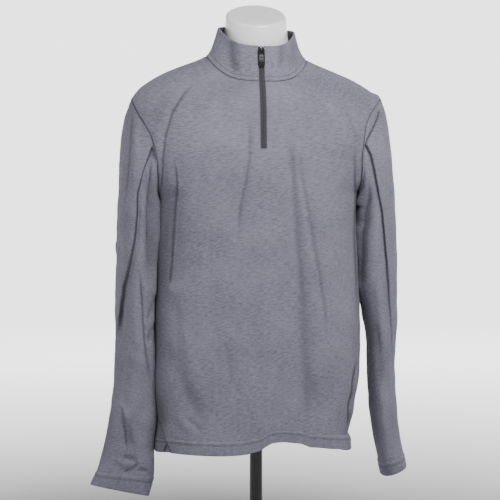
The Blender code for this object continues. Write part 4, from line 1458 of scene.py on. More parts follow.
@dataclass
class BodyCloth:
    """The front and back, cut at the side, armhole and shoulder seams and slit for the zip."""

    body: DrapedBody
    hem: float
    side_columns: int = 90
    edge_columns: int = 75
    tape_columns: int = 6
    back_columns: int = 141
    back_edge_columns: int = 42
    band_rise: float = 1.4
    still_inside: float = 1.5
    side_radius: float = 125.0
    armhole_radius: float = 150.0
    pattern_radius: float = 160.0

    def rows(self) -> Array:
        """Ring heights: close at the hem, cosine steps beside the armhole, close at the neck."""
        below = rows_between((2.4, HEM_DEPTH + 6, ARMHOLE_UP - ARMHOLE_RISE), (27, 105))[:-1]
        foot = math.acos((ARMHOLE_UP - ZIP_FOOT_UP) / ARMHOLE_RISE)
        angle = rows_between((0.0, foot, math.pi), (42, 36))
        beside = ARMHOLE_UP - ARMHOLE_RISE * np.cos(angle)
        above = rows_between((SHOULDER_UP, 720.0, 741.0, NECK_SIDE_UP), (21, 12, 3))[1:]
        return np.concatenate([[0.0, 0.3, 1.0], below, beside, above])

    @staticmethod
    def edge_turn(up: Array, side: int) -> Array:
        """How far round from the front the panels' edge lies on one side, in degrees."""
        seam = np.degrees(SEAM_GAP / 2 / BODY.read("half_width", up))
        cut = armhole_cut((up - ARMHOLE_UP) / ARMHOLE_RISE, side)
        return 90.0 - ARMHOLE_SPREAD[side] * cut - seam

    def still_turn(self, up: Array, side: int) -> Array:
        """The turn inside which columns stay put beside the armhole."""
        return np.full(up.shape, 90.0 - ARMHOLE_SPREAD[side] - self.still_inside)

    @staticmethod
    def across_turn(across: Array, up: Array) -> Array:
        """How far round the front a place lies that is this far across."""
        return np.degrees(np.arcsin(across / BODY.read("half_width", up)))

    def seam_distance(self, turn: Array, up: Array) -> Array:
        """Roughly how far the nearest seam is, in millimetres.

        Beside the armhole it is the distance to the armhole's curve, elsewhere to the side seam.
        """
        side = (90.0 - ring_side(turn)) * math.radians(1.0) * self.side_radius
        wearer_left = np.sin(np.radians(turn)) > 0
        spread = np.where(wearer_left, ARMHOLE_SPREAD[1], ARMHOLE_SPREAD[-1])
        a = np.abs(90.0 - ring_side(turn)) / spread
        b = (up - ARMHOLE_UP) / ARMHOLE_RISE
        power = np.where((b > 0) & wearer_left, ARMHOLE_POWER[1], 2.0)
        size = np.maximum((a**power + np.abs(b) ** power) ** (1 / power), 1e-6)
        pull_a = (a / size) ** (power - 1) / (np.radians(spread) * self.armhole_radius)
        pull_b = (np.abs(b) / size) ** (power - 1) / ARMHOLE_RISE
        hole = np.maximum((size - 1) / np.maximum(np.hypot(pull_a, pull_b), 1e-6), 0.0)
        return np.minimum(hole, np.where(np.abs(b) < 1, np.inf, np.abs(side)))

    def grid(self, turn: Array, up: Array) -> Grid:
        """Works out a panel.

        Args:
            turn: rows by columns.
            up: ring heights, one a row.

        Returns:
            Its grid.
        """
        high = np.repeat(up[:, None], turn.shape[1], axis=1)
        near = self.seam_distance(turn, high)
        middle = BODY.read("half_width", high) * np.sin(np.radians(turn)) - zip_centre(high)
        beside = np.maximum(np.abs(middle) - ZIP_SLOT / 2, 0.0)
        slit = np.hypot(beside, np.maximum(ZIP_FOOT_UP - high, 0.0))
        slit = np.where(ring_side(turn) < 40, slit, np.inf)
        neck = (NECK_SIDE_UP - high) * 1.3
        drop = np.maximum.reduce([
            round_over(near, *SEAM_ROLL), round_over(slit, *SLIT_ROLL), round_over(neck, *NECK_ROLL),
            round_over(high, *FREE_ROLL),
        ])
        outer, dark = self.body.face(turn, high, drop - hem_band(high, HEM_DEPTH, self.band_rise))
        # Painted shade: the folds', and more by seams, the zip's slit, the neck and in the groove under the
        # hem's stitches.
        dark = np.maximum.reduce([
            dark, painted_edge_shade(near, *SEAM_DARK), painted_edge_shade(slit, *SLIT_DARK), painted_edge_shade(neck, *NECK_DARK),
            0.6 * bell(high - HEM_DEPTH + STITCH_DARK_DOWN, 1.1),
        ])
        u = np.radians(turn - np.mean(turn)) * self.pattern_radius
        low_turn, low_high = turn[::STRIDE, ::STRIDE], high[::STRIDE, ::STRIDE]
        inner, _ = self.body.face(low_turn, low_high, CLOTH + turned_layer(low_high, HEM_DEPTH))
        return Grid(outer, inner, u, high, dark)

    def front(self) -> Item:
        """The front: columns from its left seam to the zip's slit, across it, and on."""
        up = self.rows()
        middle = zip_centre(up)
        slot = [self.across_turn(middle + side * ZIP_SLOT / 2, up) for side in (-1, 1)]
        tape = [self.across_turn(middle + side * TAPE_WIDTH, up) for side in (-1, 1)]
        still = [side * self.still_turn(up, side) for side in (-1, 1)]
        edge = [side * self.edge_turn(up, side) for side in (-1, 1)]
        half = [self.edge_columns, self.side_columns, self.tape_columns]
        turn = lerp_columns(
            [edge[0], still[0], tape[0], *slot, tape[1], still[1], edge[1]],
            [*half, STRIDE, *half[::-1]],
            [1.15, 1.0, 1.0, 1.0, 1.0, 1.0, 1.15],
        )
        foot = int(np.argmin(np.abs(up - ZIP_FOOT_UP)))
        kept = np.ones(((len(up) - 1) // STRIDE, (turn.shape[1] - 1) // STRIDE), bool)
        kept[foot // STRIDE:, sum(half) // STRIDE] = False
        return cloth_wall("front_jersey", self.grid(turn, up), self.hem, kept=kept)

    def back(self) -> Item:
        """The back, from its right seam round to its left one."""
        up = self.rows()
        turn = lerp_columns(
            [180.0 - self.edge_turn(up, 1), 180.0 - self.still_turn(up, 1),
             180.0 + self.still_turn(up, -1), 180.0 + self.edge_turn(up, -1)],
            [self.back_edge_columns, self.back_columns, self.back_edge_columns], [1.1, 1.0, 1.1],
        )
        return cloth_wall("back_jersey", self.grid(turn, up), self.hem)

    def banded(self, turn: Array, up: Array) -> Array:
        """The face with its turned-up hem, before its edges are rolled."""
        return self.body.face(turn, up, -hem_band(up, HEM_DEPTH, self.band_rise))[0]

    def hem_stitches(self) -> Item:
        """Two rows of stitches round the hem."""
        turn = np.linspace(-90.0, 270.0, 700)
        levels = [HEM_DEPTH - down for down in STITCHES_DOWN]
        return sewn_rows("hem_stitches", self.banded, turn, levels, (0.5, 0.5), self.hem, 2.6)

    def build(self, cloth: Jersey, thread: Thread) -> None:
        """Makes and dresses the front, the back and the hem's stitches."""
        front, back, hem = self.front(), self.back(), self.hem_stitches()
        cloth.put_on(front, 0.0, "body_front")
        cloth.put_on(back, 3.7, "body_back")
        dress(hem, thread.make("hem_thread"), "root")


@dataclass
class Sleeve:
    """One sleeve with its cuff's hem and stitches."""

    cloth: DrapedSleeve
    hem: float
    columns: int = 240
    band_rise: float = 1.2
    seam_radius: float = 60.0
    pattern_radius: float = 58.0

    @property
    def name(self) -> str:
        """Which sleeve it is."""
        return "sleeve_left" if self.cloth.side < 0 else "sleeve_right"

    def tube(self) -> Item:
        """The sleeve from its armhole to its cuff, its own seam under the arm."""
        length, side = self.cloth.length, self.cloth.side
        along = np.concatenate([
            rows_between([0.0, 3.0, length - CUFF_DEPTH - 5, length - 2.4], [3, 312, 24]),
            [length - 1.0, length - 0.3, length],
        ])
        turn = -180.0 + np.arange(self.columns) * 360.0 / self.columns
        turn, along = np.meshgrid(turn, along)
        height = length - along
        under = (180.0 - np.abs(turn)) * math.radians(1.0) * self.seam_radius
        drop = round_over(along, *SEAM_ROLL) + 0.55 * bell(under, 1.6)
        drop = np.maximum(drop, round_over(height, *FREE_ROLL)) - 0.5 * bell(along - 6, 4)
        drop = drop - hem_band(height, CUFF_DEPTH, self.band_rise)
        outer, dark = self.cloth.face(turn, along, drop)
        # Painted shade in the groove under the cuff's stitches, by the armhole seam and along the seam under
        # the arm, besides the folds'.
        stitch_groove_shade = 0.5 * bell(height - CUFF_DEPTH + STITCH_DARK_DOWN, 1.1)
        dark = np.maximum.reduce([dark, painted_edge_shade(along, *ARMHOLE_DARK[side]), 0.5 * bell(under, 1.5), stitch_groove_shade])
        low_turn, low_along = turn[::STRIDE, ::STRIDE], along[::STRIDE, ::STRIDE]
        inner, _ = self.cloth.face(low_turn, low_along, CLOTH + turned_layer(length - low_along, CUFF_DEPTH))
        wide = np.concatenate([turn, turn[:, :1] + 360.0], axis=1)
        level = sleeve_smooth(self.cloth.table, side, turn, along)[..., 2]
        level = np.concatenate([level, level[:, :1]], axis=1)
        grid = Grid(outer, inner, np.radians(wide) * self.pattern_radius, level, dark)
        return cloth_wall(self.name + "_jersey", grid, self.hem, closed=True, mirrored=side > 0)

    def banded(self, turn: Array, along: Array) -> Array:
        """The face with its turned-up cuff, before its edges are rolled."""
        band = hem_band(self.cloth.length - along, CUFF_DEPTH, self.band_rise)
        return self.cloth.face(turn, along, -band)[0]

    def cuff_stitches(self) -> Item:
        """Two rows of stitches round the cuff."""
        turn = np.linspace(-180.0, 180.0, 240)
        levels = [self.cloth.length - (CUFF_DEPTH - down) for down in STITCHES_DOWN]
        name = self.name + "_stitches"
        return sewn_rows(name, self.banded, turn, levels, (1.0, 0.6), self.hem, 2.4, -self.cloth.side)

    def build(self, cloth: Jersey, thread: Thread) -> None:
        """Makes and dresses the sleeve and its stitches."""
        item, sewn = self.tube(), self.cuff_stitches()
        cloth.put_on(item, 1.3 + 0.9 * self.cloth.side, self.name)
        dress(sewn, thread.make(self.name + "_thread"), "root")


@dataclass
class StandCollar:
    """The stand collar, two layers turned over at its top, open at the front for the zip."""

    hem: float
    columns: int = 300
    stitch_up: float = 7.6
    radius: float = 74.0
    folds: Sequence[Fold] = (
        Fold(T, 9, 4.6, ((-50, 774), (-50, 745), (-46, 722), (-34, 704)), 0.3, blur=8),
        Fold(R, 8, 1.8, ((-27, 770), (-28, 740), (-27, 710))),
        Fold(T, 6, 3.2, ((51, 770), (49, 740), (46, 714)), 0.26, blur=6),
        Fold(R, 8, 1.5, ((33, 768), (31, 716))),
        Fold(R, 6, 1.6, ((58, 768), (62, 735))),
        Fold(T, 10, 2.4, ((73, 772), (74, 740), (68, 716)), 0.16, blur=9),
        Fold(R, 9, 1.2, ((-72, 778), (-76, 740)), tail=3),
    )

    def face(self, turn: Array, rise: Array, drawn: Number = 0.0) -> tuple[Array, Array]:
        """Places the collar's outer face, or one drawn inwards from it."""
        turn, rise = same_shape(turn, rise)
        base = collar_smooth(turn, rise)
        normal = faces_out(collar_smooth, turn, rise, *COLLAR_STEPS)
        ahead = smooth(np.cos(np.radians(turn)) * 3)
        lift, _ = fold_field(*seen(base), self.folds)
        arc = np.radians(turn) * self.radius
        swell = 0.35 * wander(arc, rise * 60, 38.0, 23) * smooth(rise * 5) * smooth((1 - rise) * 8)
        centre = smooth((np.abs(collar_across(turn, rise)) - TAPE_WIDTH) / 10.0)
        lift = (lift * ahead + swell) * centre
        return base + normal * (lift - drawn)[..., None], normal

    def wall(self) -> Item:
        """The collar's cloth."""
        low = SEAM_GAP / COLLAR_RISE
        rise = np.concatenate([
            [low, low + 0.006, low + 0.014], rows_between([low + 0.03, 0.97], [54]), [0.985, 0.995, 1.0],
        ])
        slot = np.degrees(np.arcsin(ZIP_SLOT / 2 / COLLAR.read("half_width", rise)))
        turn = lerp_columns([slot, 360.0 - slot], [self.columns], [1.3])
        rise = np.repeat(rise[:, None], turn.shape[1], axis=1)
        foot = (rise - low) * COLLAR_RISE
        top = (1 - rise) * COLLAR_RISE
        slit = np.abs(collar_across(turn, rise)) - ZIP_SLOT / 2
        slit = np.where(ring_side(turn) < 60, slit, np.inf)
        drop = np.maximum.reduce([
            round_over(foot, *COLLAR_FOOT_ROLL), round_over(top, *COLLAR_TOP_ROLL),
            round_over(slit, *SLIT_ROLL),
        ])
        drop = drop + 0.5 * bell(foot - self.stitch_up, 1.2) - 0.35 * bell(foot - 2.8, 1.6)
        outer, _ = self.face(turn, rise, drop)
        # Painted shade: the folds' on the front, and more by the neck seam, under the row of stitches and by
        # the slit.
        _, crease = fold_field(*seen(collar_smooth(turn, rise)), self.folds)
        dark = np.maximum.reduce([
            crease * smooth(np.cos(np.radians(turn)) * 3), painted_edge_shade(foot, *COLLAR_FOOT_DARK),
            0.28 * bell(foot - self.stitch_up + 0.8, 1.0), painted_edge_shade(slit, *NECK_DARK),
        ])
        low_turn, low_rise = turn[::STRIDE, ::STRIDE], rise[::STRIDE, ::STRIDE]
        thin = round_over(top[::STRIDE, ::STRIDE], *COLLAR_TOP_ROLL)
        inner, _ = self.face(low_turn, low_rise, COLLAR_CLOTH - thin)
        u = np.radians(turn - 180.0) * self.radius
        grid = Grid(outer, inner, u, rise * COLLAR_RISE, dark)
        return cloth_wall("collar_jersey", grid, self.hem)

    def neck_stitches(self) -> Item:
        """The row of stitches above the neck seam."""
        rise = (self.stitch_up + SEAM_GAP) / COLLAR_RISE
        start = math.degrees(math.asin((ZIP_SLOT / 2 + 1) / 92.0))
        turn = np.linspace(start, 360.0 - start, 500)
        points, normals = self.face(turn, np.full(turn.shape, rise))
        return stitches("neck_stitches", [(points, normals)], self.hem)

    def build(self, cloth: Jersey, thread: Thread) -> None:
        """Makes and dresses the collar and its stitches."""
        item, sewn = self.wall(), self.neck_stitches()
        cloth.put_on(item, 6.1, "collar")
        dress(sewn, thread.make("neck_thread"), "root")


def collar_across(turn: Array, rise: Array) -> Array:
    """How far across a place on the collar lies."""
    return COLLAR.read("half_width", rise) * np.sin(np.radians(turn))


def rounded(width: float, height: float, radius: float, down: float = 0.0, steps: int = 6) -> Points:
    """A rounded rectangle's outline, its middle this far below the origin."""
    points = []
    for k, (sx, sy) in enumerate(((1, 1), (-1, 1), (-1, -1), (1, -1))):
        for angle in np.radians(90 * (k + np.linspace(0, 1, steps + 1))):
            points.append((
                sx * (width / 2 - radius) + radius * math.cos(angle),
                sy * (height / 2 - radius) + radius * math.sin(angle) - down,
            ))
    return points


def circle(radius: float, down: float, steps: int = 28) -> Points:
    """A circle's outline, this far below the origin."""
    angle = ring_angles(steps)
    return [(radius * math.cos(a), radius * math.sin(a) - down) for a in angle]


@dataclass
class Zipper:
    """The zip: two tapes behind the slit, the slider at its top and the tab that swings from it."""

    body: DrapedBody
    hem: float
    tape_thick: float = 1.0
    tape_tail: float = 5.0
    tape_top: float = 0.94
    slider_width: float = 9.0
    slider_length: float = 13.0
    bar_out: float = 1.4
    bridge_inside: float = 1.9
    tab_width: float = 12.6
    tab_length: float = 32.0
    tab_thick: float = 1.8
    tab_ring_down: float = 20.3
    spot: Array = field(init=False)
    lean: float = field(init=False)

    def __post_init__(self) -> None:
        """Finds the slider's top on the collar and how far the collar leans back there."""
        top, low = collar_smooth(0.0, 0.985), collar_smooth(0.0, 0.60)
        self.lean = -math.atan2(top[1] - low[1], top[2] - low[2])
        self.spot = top + np.array([0.0, 0.0, self.hem / MM])

    def at(self, out: float, down: float) -> Array:
        """A place this far out from the collar's face and down from the slider's top."""
        lean = self.lean
        return self.spot + np.array([
            0.0,
            -out * math.cos(lean) + down * math.sin(lean),
            -out * math.sin(lean) - down * math.cos(lean),
        ])

    def tape_face(self, across: Array, depth: Array) -> Array:
        """A tape's face: rows up the panel, then up the collar, at this depth behind them."""
        up = np.linspace(ZIP_FOOT_UP - self.tape_tail, NECK_SIDE_UP - 8.0, 150)[:, None]
        rise = np.linspace(0.12, self.tape_top, 58)[:, None]
        low = np.degrees(np.arcsin((across + zip_centre(up)) / BODY.read("half_width", up)))
        high = np.degrees(np.arcsin(across / COLLAR.read("half_width", rise)))
        panel, _ = self.body.face(low, up + 0 * low, CLOTH + depth)
        rise = rise + 0 * high
        stand = collar_smooth(high, rise)
        normal = faces_out(collar_smooth, high, rise, *COLLAR_STEPS)
        stand = stand - normal * (COLLAR_CLOTH + depth)[..., None]
        return np.concatenate([panel, stand])

    def tape(self, side: int) -> Item:
        """One tape: fine ribs by its finish, its edge by the middle a little proud."""
        across = SEAM_GAP / 2 + np.linspace(0.0, 1.0, 25) * (TAPE_WIDTH - SEAM_GAP / 2)
        edge = SEAM_GAP + 0.25 * (1 - bell(across - 1.3, 1.0)) + 0.3 * np.exp(-(across - SEAM_GAP / 2) / 0.25)
        outer = self.tape_face(across * side, edge)
        low = across[::STRIDE] * side
        inner = self.tape_face(low, np.full(low.shape, SEAM_GAP + self.tape_thick))[::STRIDE]
        run = run_along(outer[:, 0])
        v = np.repeat(run[:, None], len(across), axis=1)
        u = np.repeat(across[None] * side, len(run), axis=0)
        name = "zip_tape_left" if side < 0 else "zip_tape_right"
        grid = Grid(outer, inner, u, v, 0 * u)
        return cloth_wall(name + "_cloth", grid, self.hem, mirrored=side < 0)

    def plate(
        self, name: str, outlines: Sequence[Points], thick: float, bevel: float, out: float, down: float = 0.0
    ) -> Item:
        """A plate on the zip, its origin this far out of the face and down from the slider's top."""
        return plate(name, outlines, thick, bevel, self.at(out, down), self.lean)

    def slider(self) -> Item:
        """The slider: front and rear plates, the web that joins them and the bridge on the front."""
        face = COLLAR_CLOTH + SEAM_GAP
        depth = face + self.tape_thick + SEAM_GAP + 0.6
        wide, length = self.slider_width, self.slider_length
        rear_length = length - 3.0
        side = (
            (1.4, 0.0), (0.4, -0.5), (0.0, -1.6), (0.1, -6.0), (0.8, -9.5), (1.3, 1.0 - length),
            (2.2, -length),
        )
        shield = [(inset - wide / 2, y) for inset, y in side]
        shield += [(-x, y) for x, y in reversed(shield)]
        rear = [rounded(wide, rear_length, 1.5, rear_length / 2)]
        parts = [
            self.plate("slider_front", [shield], face - 2 * SEAM_GAP, 0.45, -face / 2),
            self.plate("slider_rear", rear, 1.2, 0.3, -depth),
            self.plate(
                "slider_web", [rounded(wide - 1.4, 1.5, 0.5, 0.75)], depth - 0.8, 0.3, -depth / 2 - 0.7
            ),
        ]
        reach = self.bridge_inside + 0.55
        angle = np.linspace(-1.0, 1.0, 25) * math.pi / 2
        out = self.bar_out + reach * np.cos(angle)
        down = length / 2 + reach * 1.02 * np.sin(angle)
        out = np.concatenate([[-0.9, 0.2], out, [0.2, -0.9]])
        down = np.concatenate([[down[0], down[0]], down, [down[-1], down[-1]]])
        path = np.array([self.at(o, d) for o, d in zip(out, down)])
        across = np.repeat([[1.0, 0.0, 0.0]], len(path), axis=0)
        return join("slider_body", [*parts, tube("slider_bridge", path, across, 1.35, 0.55, 16)])

    def tab(self) -> tuple[Item, Item]:
        """The pull tab: a plate with a window at its bar, and raised rims round it and its holes."""
        wide, length, thick, ring = self.tab_width, self.tab_length, self.tab_thick, self.tab_ring_down
        middle = length / 2 - 0.9
        outline = rounded(wide, length, 3.0, middle)
        inside = rounded(wide - 2.2, length - 2.2, 2.0, middle)
        window = rounded(4.8, 5.5, 2.3, 3.65)
        groups = {
            "pull_tab": (
                ("tab_core", [outline, window, circle(1.5, ring)], thick * 0.62, 0.3),
                ("tab_rim", [outline, inside], thick, 0.38),
                ("tab_window_rim", [rounded(7.4, 8.1, 3.4, 3.65), window], thick, 0.35),
                ("tab_grip", [rounded(7.6, 4.4, 1.6, 26.6)], thick * 0.86, 0.35),
            ),
            "pull_ring": (
                ("tab_ring", [circle(2.9, ring), circle(1.55, ring)], thick + 0.5, 0.4),
                (
                    "tab_inlay", [rounded(8.4, 13.0, 2.4, 15.6), circle(1.2, 15.2), circle(2.4, ring)],
                    thick * 0.62 + 0.4, 0.2,
                ),
            ),
        }
        rubber, metal = (
            join(name, [self.plate(*part, self.bar_out, self.slider_length / 2) for part in parts])
            for name, parts in groups.items()
        )
        return rubber, metal

    def build(self, tape: ZipTape, metal: Enamel, rubber: Rubber) -> None:
        """Makes and dresses the tapes, the slider and the tab."""
        for side, node in ((-1, "zip_tape_left"), (1, "zip_tape_right")):
            item = self.tape(side)
            dress(item, tape.make(item.name), "root", node)
        dress(self.slider(), metal.make("slider_enamel"), "root", "zip_slider")
        rivet = self.plate("slider_rivet", [circle(1.0, 2.3)], 0.7, 0.3, 0.1)
        dress(rivet, Enamel((0.62, 0.62, 0.64), 0.3, metallic=0.9).make("rivet_metal"), "root")
        tab, ring = self.tab()
        dress(tab, rubber.make("tab_rubber"), "pull", "zip_pull")
        dress(ring, Enamel((0.034, 0.034, 0.037), 0.5, metallic=0.1).make("ring_metal"), "pull")


FORM_EASE = Table(
    "up side front back",
    [
        (0, 32, 20, 14), (120, 38, 18, 12), (250, 52, 28, 20), (350, 44, 24, 18), (450, 26, 9, 10),
        (521, 38, 5, 6), (578, 48, 7, 6), (620, 34, 7, 5), (650, 20, 6, 4), (667, 9, 6, 3),
        (683, 2.5, 6, 2.5), (743, 2.5, 6, 2.5),
    ],
)
FORM_NECK = Table(
    "share half_width front back",
    [
        (0.00, 78, 68, 58), (0.20, 67, 60, 56), (0.45, 60.5, 54, 55), (0.70, 58.5, 53, 54),
        (0.93, 57, 53, 54), (0.98, 56, 52, 53), (1.00, 53.5, 49.5, 50.5),
    ],
)


@dataclass
class DressForm:
    """The limbless torso: rings drawn inwards from the cloth, a neck and its tilted cap."""

    hem: float
    columns: int = 160
    foot_up: float = 32.0
    cap_up: float = 825.0
    cap_tilt: float = 16.0
    groove_up: float = 0.90
    foot_roll: float = 8.0
    neck_side: float = 741.0
    neck_front: float = 722.0
    neck_back: float = 752.0

    def torso_ring(self, turn: Array, up: float) -> Array:
        """The body's ring at this height, drawn inwards by its ease, level below the armhole."""
        ahead = np.cos(np.radians(turn))
        end = np.where(ahead > 0, FORM_EASE.read("front", up), FORM_EASE.read("back", up))
        side = FORM_EASE.read("side", up)
        level = np.full(turn.shape, up)
        normal = faces_out(body_smooth, turn, level, *BODY_STEPS)
        flat = unit(normal * np.array([1.0, 1.0, 0.0]))
        hold = smooth((up - 540.0) / 70.0)
        normal = unit(flat * (1 - hold) + normal * hold)
        return body_smooth(turn, level) - normal * (side + (end - side) * ahead**2)[:, None]

    def neck_ring(self, turn: Array, share: float, inset: float = 0.0) -> Array:
        """A ring of the neck, from its sloping start at share 0 to its cap at share 1."""
        ahead = np.cos(np.radians(turn))
        rise = np.where(ahead > 0, self.neck_front, self.neck_back) - self.neck_side
        low = self.neck_side + rise * end_share(turn)
        reach = np.where(ahead > 0, FORM_NECK.read("front", share), FORM_NECK.read("back", share)) - inset
        x = (FORM_NECK.read("half_width", share) - inset) * np.sin(np.radians(turn))
        y = -reach * ahead
        return np.stack([x, y, low + (self.cap_height(y) - low) * share], axis=-1)

    def cap_height(self, y: Array) -> Array:
        """How high the tilted cap lies."""
        return self.cap_up + y * math.tan(math.radians(self.cap_tilt))

    def shell(self) -> Item:
        """The whole form: its rolled foot, torso, neck, the cap's groove and its rounded edge."""
        turn = np.arange(self.columns) * 360.0 / self.columns
        first = self.torso_ring(turn, self.foot_up + self.foot_roll)
        level = np.array([1.0, 1.0, 0.0])
        loops = []
        for angle in np.linspace(0.0, math.pi / 2, 7):
            inset = self.foot_roll * (1 - math.sin(angle))
            ring = first + unit(first.mean(0) * level - first * level) * inset
            ring[:, 2] = self.foot_up + self.foot_roll * (1 - math.cos(angle))
            loops.append(ring)
        loops += [self.torso_ring(turn, float(up)) for up in np.linspace(self.foot_up + 12, 735, 120)]
        shares = np.concatenate([np.linspace(0.0, 0.86, 44), np.linspace(0.868, 0.93, 20)])
        for share in shares:
            groove = 0.35 * float(bell(np.array(share - self.groove_up), 0.008))
            loops.append(self.neck_ring(turn, float(share), groove))
        for angle in np.linspace(0.1, math.pi / 2, 9):
            share = 0.932 + 0.068 * math.sin(angle)
            loops.append(self.neck_ring(turn, 0.94, 6.5 * (1 - math.cos(angle))))
            loops[-1][:, 2] = self.neck_ring(turn, share)[:, 2]
        for inset in (9.0, 16.0, 26.0, 38.0):
            loops.append(self.neck_ring(turn, 0.94, inset))
            loops[-1][:, 2] = self.cap_height(loops[-1][:, 1]) + 0.8 * smooth(inset / 30)
        loops = np.array(loops)
        loops[..., 2] += self.hem / MM
        return solid_loops("form_shell", loops, 60.0)

    def build(self, shell: FormShell) -> None:
        """Makes and dresses the form."""
        dress(self.shell(), shell.make("form_satin"), "root", "form_torso")


@dataclass
class Stand:
    """The flange under the form, the pole and the round base."""

    hem: float
    foot_up: float = 32.0
    flange_radius: float = 45.0
    flange_thick: float = 6.0
    pole_radius: float = 12.0
    base_radius: float = 140.0
    base_thick: float = 12.0
    screw_circle: float = 34.0

    @property
    def flange_low(self) -> float:
        """The flange's underside."""
        return self.hem / MM + self.foot_up - SEAM_GAP - self.flange_thick

    def flange(self) -> Item:
        """The flange: a bevelled disc with a hub and four screws on its underside."""
        low, r, t = self.flange_low, self.flange_radius, self.flange_thick
        disc = [(17, -0.2), (r - 1.2, 0), (r - 0.4, 0.3), (r, 1), (r, t - 0.8), (r - 0.8, t), (r - 6, t)]
        hub = [(15, -13), (16.2, -12.4), (16.8, -11.4), (17, -2.4), (18.2, -0.6), (19.6, 0.4)]
        screw = [(1.2, -1.2), (1.6, -2.2), (2.8, -2.1), (3.6, -1.5), (3.9, -0.6), (3.9, 0.5)]
        spots = [
            (self.screw_circle * math.cos(a), self.screw_circle * math.sin(a))
            for a in np.radians([45, 135, 225, 315])
        ]
        return join("flange", [
            turned("flange_disc", disc, 96, low), turned("flange_hub", hub, 72, low),
            turned("flange_screws", screw, 20, low, spots),
        ])

    def pole(self) -> Item:
        """The pole: a tube with a sleeve at its foot and a fine ring above it."""
        r, low = self.pole_radius, self.base_thick + SEAM_GAP
        top = self.flange_low - SEAM_GAP - low
        wall = [(r, z) for z in np.linspace(6, top - 6, 12)]
        shaft = [(r - 0.6, 0), (r, 0.6), *wall, (r, top - 0.6), (r - 0.6, top)]
        foot = [
            (19, 0), (20.4, 0.5), (21, 1.6), (20.6, 3.4), (18.2, 5.6), (16.6, 9), (16, 14), (16, 22.4),
            (15.4, 23.6), (14.2, 24.2), (11.6, 24.4),
        ]
        return join("pole", [turned("pole_tube", shaft, 64, low), turned("pole_foot", foot, 72, low)])

    def base(self) -> Item:
        """The base: a heavy disc with a rounded rim and a step beneath."""
        r, t = self.base_radius, self.base_thick
        rim = [(r - 3 + 3 * math.sin(a), t - 3 + 3 * math.cos(a)) for a in np.linspace(math.pi / 2, 0, 9)]
        foot = [(r - 5, 0), (r - 3.4, 0.2), (r - 3, 1.2), (r - 1, 1.6), (r, 2.6)]
        return turned("base", [*foot, *rim, (r - 20, t), (r - 60, t), (r - 100, t)], 160)

    def build(self, metal: Enamel) -> None:
        """Makes and dresses the flange, the pole and the base."""
        for item, node in (
            (self.flange(), "stand_flange"), (self.pole(), "stand_pole"), (self.base(), "stand_base"),
        ):
            dress(item, metal.make(item.name + "_coat"), "root", node)


def dress(item: Item, material: bpy.types.Material, body: str, node: str | None = None) -> None:
    """Gives a piece its finish and its body, and hides the imported node that it stands for."""
    item.data.materials.clear()
    item.data.materials.append(material)
    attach(item, body)
    if node:
        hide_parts(node)
    item.data.calc_loop_triangles()
    LOG.info("%s: %d triangles", item.name, len(item.data.loop_triangles))


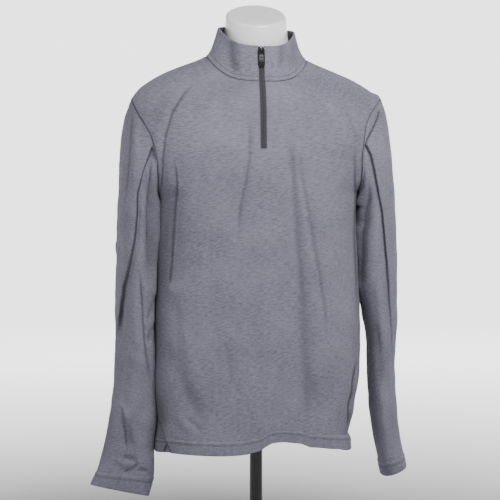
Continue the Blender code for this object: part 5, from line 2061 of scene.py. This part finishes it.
@dataclass
class Studio:
    """A broad pale floor whose rim curves up, a large high light in front and a far camera."""

    hem: float
    far: float = 9.0
    view_width: float = 0.95
    across: float = -0.0114
    up: float = 0.377
    pale: Triple = (0.42, 0.42, 0.43)
    near_glow: float = 0.12
    far_glow: float = 2.7
    sides: int = 96
    lamps: Sequence[tuple[str, Triple, float, float, Triple]] = (
        ("key", (0.5, -1.5, 2.3), 0.9, 71.0, (1.0, 0.99, 0.98)),
        ("fill", (-2.0, -1.9, 1.9), 1.6, 11.0, (0.98, 0.99, 1.0)),
        ("rear", (0.6, 2.8, 1.5), 1.6, 44.0, (1.0, 1.0, 1.0)),
    )

    def sweep(self) -> None:
        """The floor: a flat disc, then a quarter circle up to a wall, its far part glowing."""
        arc = np.linspace(0, math.pi / 2, 17)[1:]
        radii = np.concatenate([[0.01, 0.3, 1.0, 2.0, 4.0, 8.0, 12.0], 12.0 + 4.0 * np.sin(arc)])
        heights = np.concatenate([[0.0] * 7, 2.4 * (1 - np.cos(arc))])
        angle = ring_angles(self.sides)
        points = np.stack([
            radii[:, None] * np.cos(angle), radii[:, None] * np.sin(angle), heights[:, None] + 0 * angle,
        ], axis=-1)
        faces = quad_index(len(radii), self.sides, True).reshape(-1, 4)[:, ::-1]
        item = new_mesh("floor", points.reshape(-1, 3), [faces])
        shader = Shader("floor_paint")
        where = shader.own_place()
        mottle = shader.noise(where, 3.0, 2.0)
        colour = shader.mix(mottle, tinted(self.pale, 0.99), self.pale)
        x, y = shader.axes(where)
        # Painted light: the floor glows, a little near the garment and strongly far off, more behind it than
        # in front; the glow stands in for a lit white backdrop and also lights the garment.
        away = (((x * x + y * y).power(0.5) - 0.55) * 0.5).clamped()
        away = away * ((y * 0.7 + 0.5).clamped() * 0.65 + 0.35)
        glow = shader.mix(away, (self.near_glow,) * 3, (self.far_glow,) * 3)
        item.data.materials.append(
            shader.finish(Base_Color=colour, Roughness=0.9, Emission_Color=glow, Emission_Strength=1.0)
        )

    def light(self, name: str, place: Triple, size: float, power: float, tone: Triple) -> None:
        """One square area light that faces the garment's chest."""
        lamp = bpy.data.lights.new(name, "AREA")
        lamp.shape = "SQUARE"
        lamp.size = size
        lamp.energy = power
        lamp.color = tone
        item = placed(name, lamp)
        item.location = place
        aim = Vector((0.0, 0.0, self.hem + 0.5)) - item.location
        item.rotation_euler = aim.to_track_quat("-Z", "Y").to_euler()

    def camera(self) -> None:
        """A camera VIEW_TURN to the left and VIEW_RISE up, aimed at the photograph's middle."""
        right = Vector((math.cos(VIEW_TURN), -math.sin(VIEW_TURN), 0.0))
        away = Vector((math.sin(VIEW_TURN), math.cos(VIEW_TURN), 0.0))
        back = Vector((0.0, 0.0, math.sin(VIEW_RISE))) - away * math.cos(VIEW_RISE)
        upward = away * math.sin(VIEW_RISE) + Vector((0.0, 0.0, math.cos(VIEW_RISE)))
        target = Vector((0.0, 0.0, self.hem)) + right * self.across + upward * self.up
        lens = bpy.data.cameras.new("camera")
        lens.sensor_width = 36.0
        lens.lens = 36.0 * self.far / self.view_width
        lens.clip_end = 60.0
        item = placed("camera", lens)
        item.location = target + back * self.far
        item.rotation_euler = (-back).to_track_quat("-Z", "Y").to_euler()
        bpy.context.scene.camera = item

    def build(self) -> None:
        """Makes the floor, the lights, the camera and a pale sky."""
        self.sweep()
        self.camera()
        for lamp in self.lamps:
            self.light(*lamp)
        world = bpy.data.worlds.new("sky")
        world.use_nodes = True
        sky = world.node_tree.nodes["Background"]
        sky.inputs["Color"].default_value = (1.0, 1.0, 1.0, 1.0)
        sky.inputs["Strength"].default_value = 0.11
        bpy.context.scene.world = world


def main() -> None:
    """Builds the garment, the form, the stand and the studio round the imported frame."""
    logging.basicConfig(level=logging.INFO, format="%(message)s")
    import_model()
    hem = round(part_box("body_front")[0][2], 3)

    cloth, thread = Jersey(), Thread()
    body = DrapedBody()
    BodyCloth(body, hem).build(cloth, thread)
    for sleeve in (
        DrapedSleeve(SLEEVE_LEFT, SLEEVE_LEFT_FOLDS, -1, tuck=12.6, tuck_ease=0.4, tuck_end=600.0),
        DrapedSleeve(SLEEVE_RIGHT, SLEEVE_RIGHT_FOLDS, 1, tuck=11.4, tuck_ease=0.2, tuck_end=272.0),
    ):
        Sleeve(sleeve, hem).build(cloth, thread)
    StandCollar(hem).build(cloth, thread)
    Zipper(body, hem).build(ZipTape(), Enamel(), Rubber())
    DressForm(hem).build(FormShell())
    Stand(hem).build(Enamel(roughness=0.4, grain=1400.0, metallic=0.2))
    Studio(hem).build()


if __name__ == "__main__":
    main()
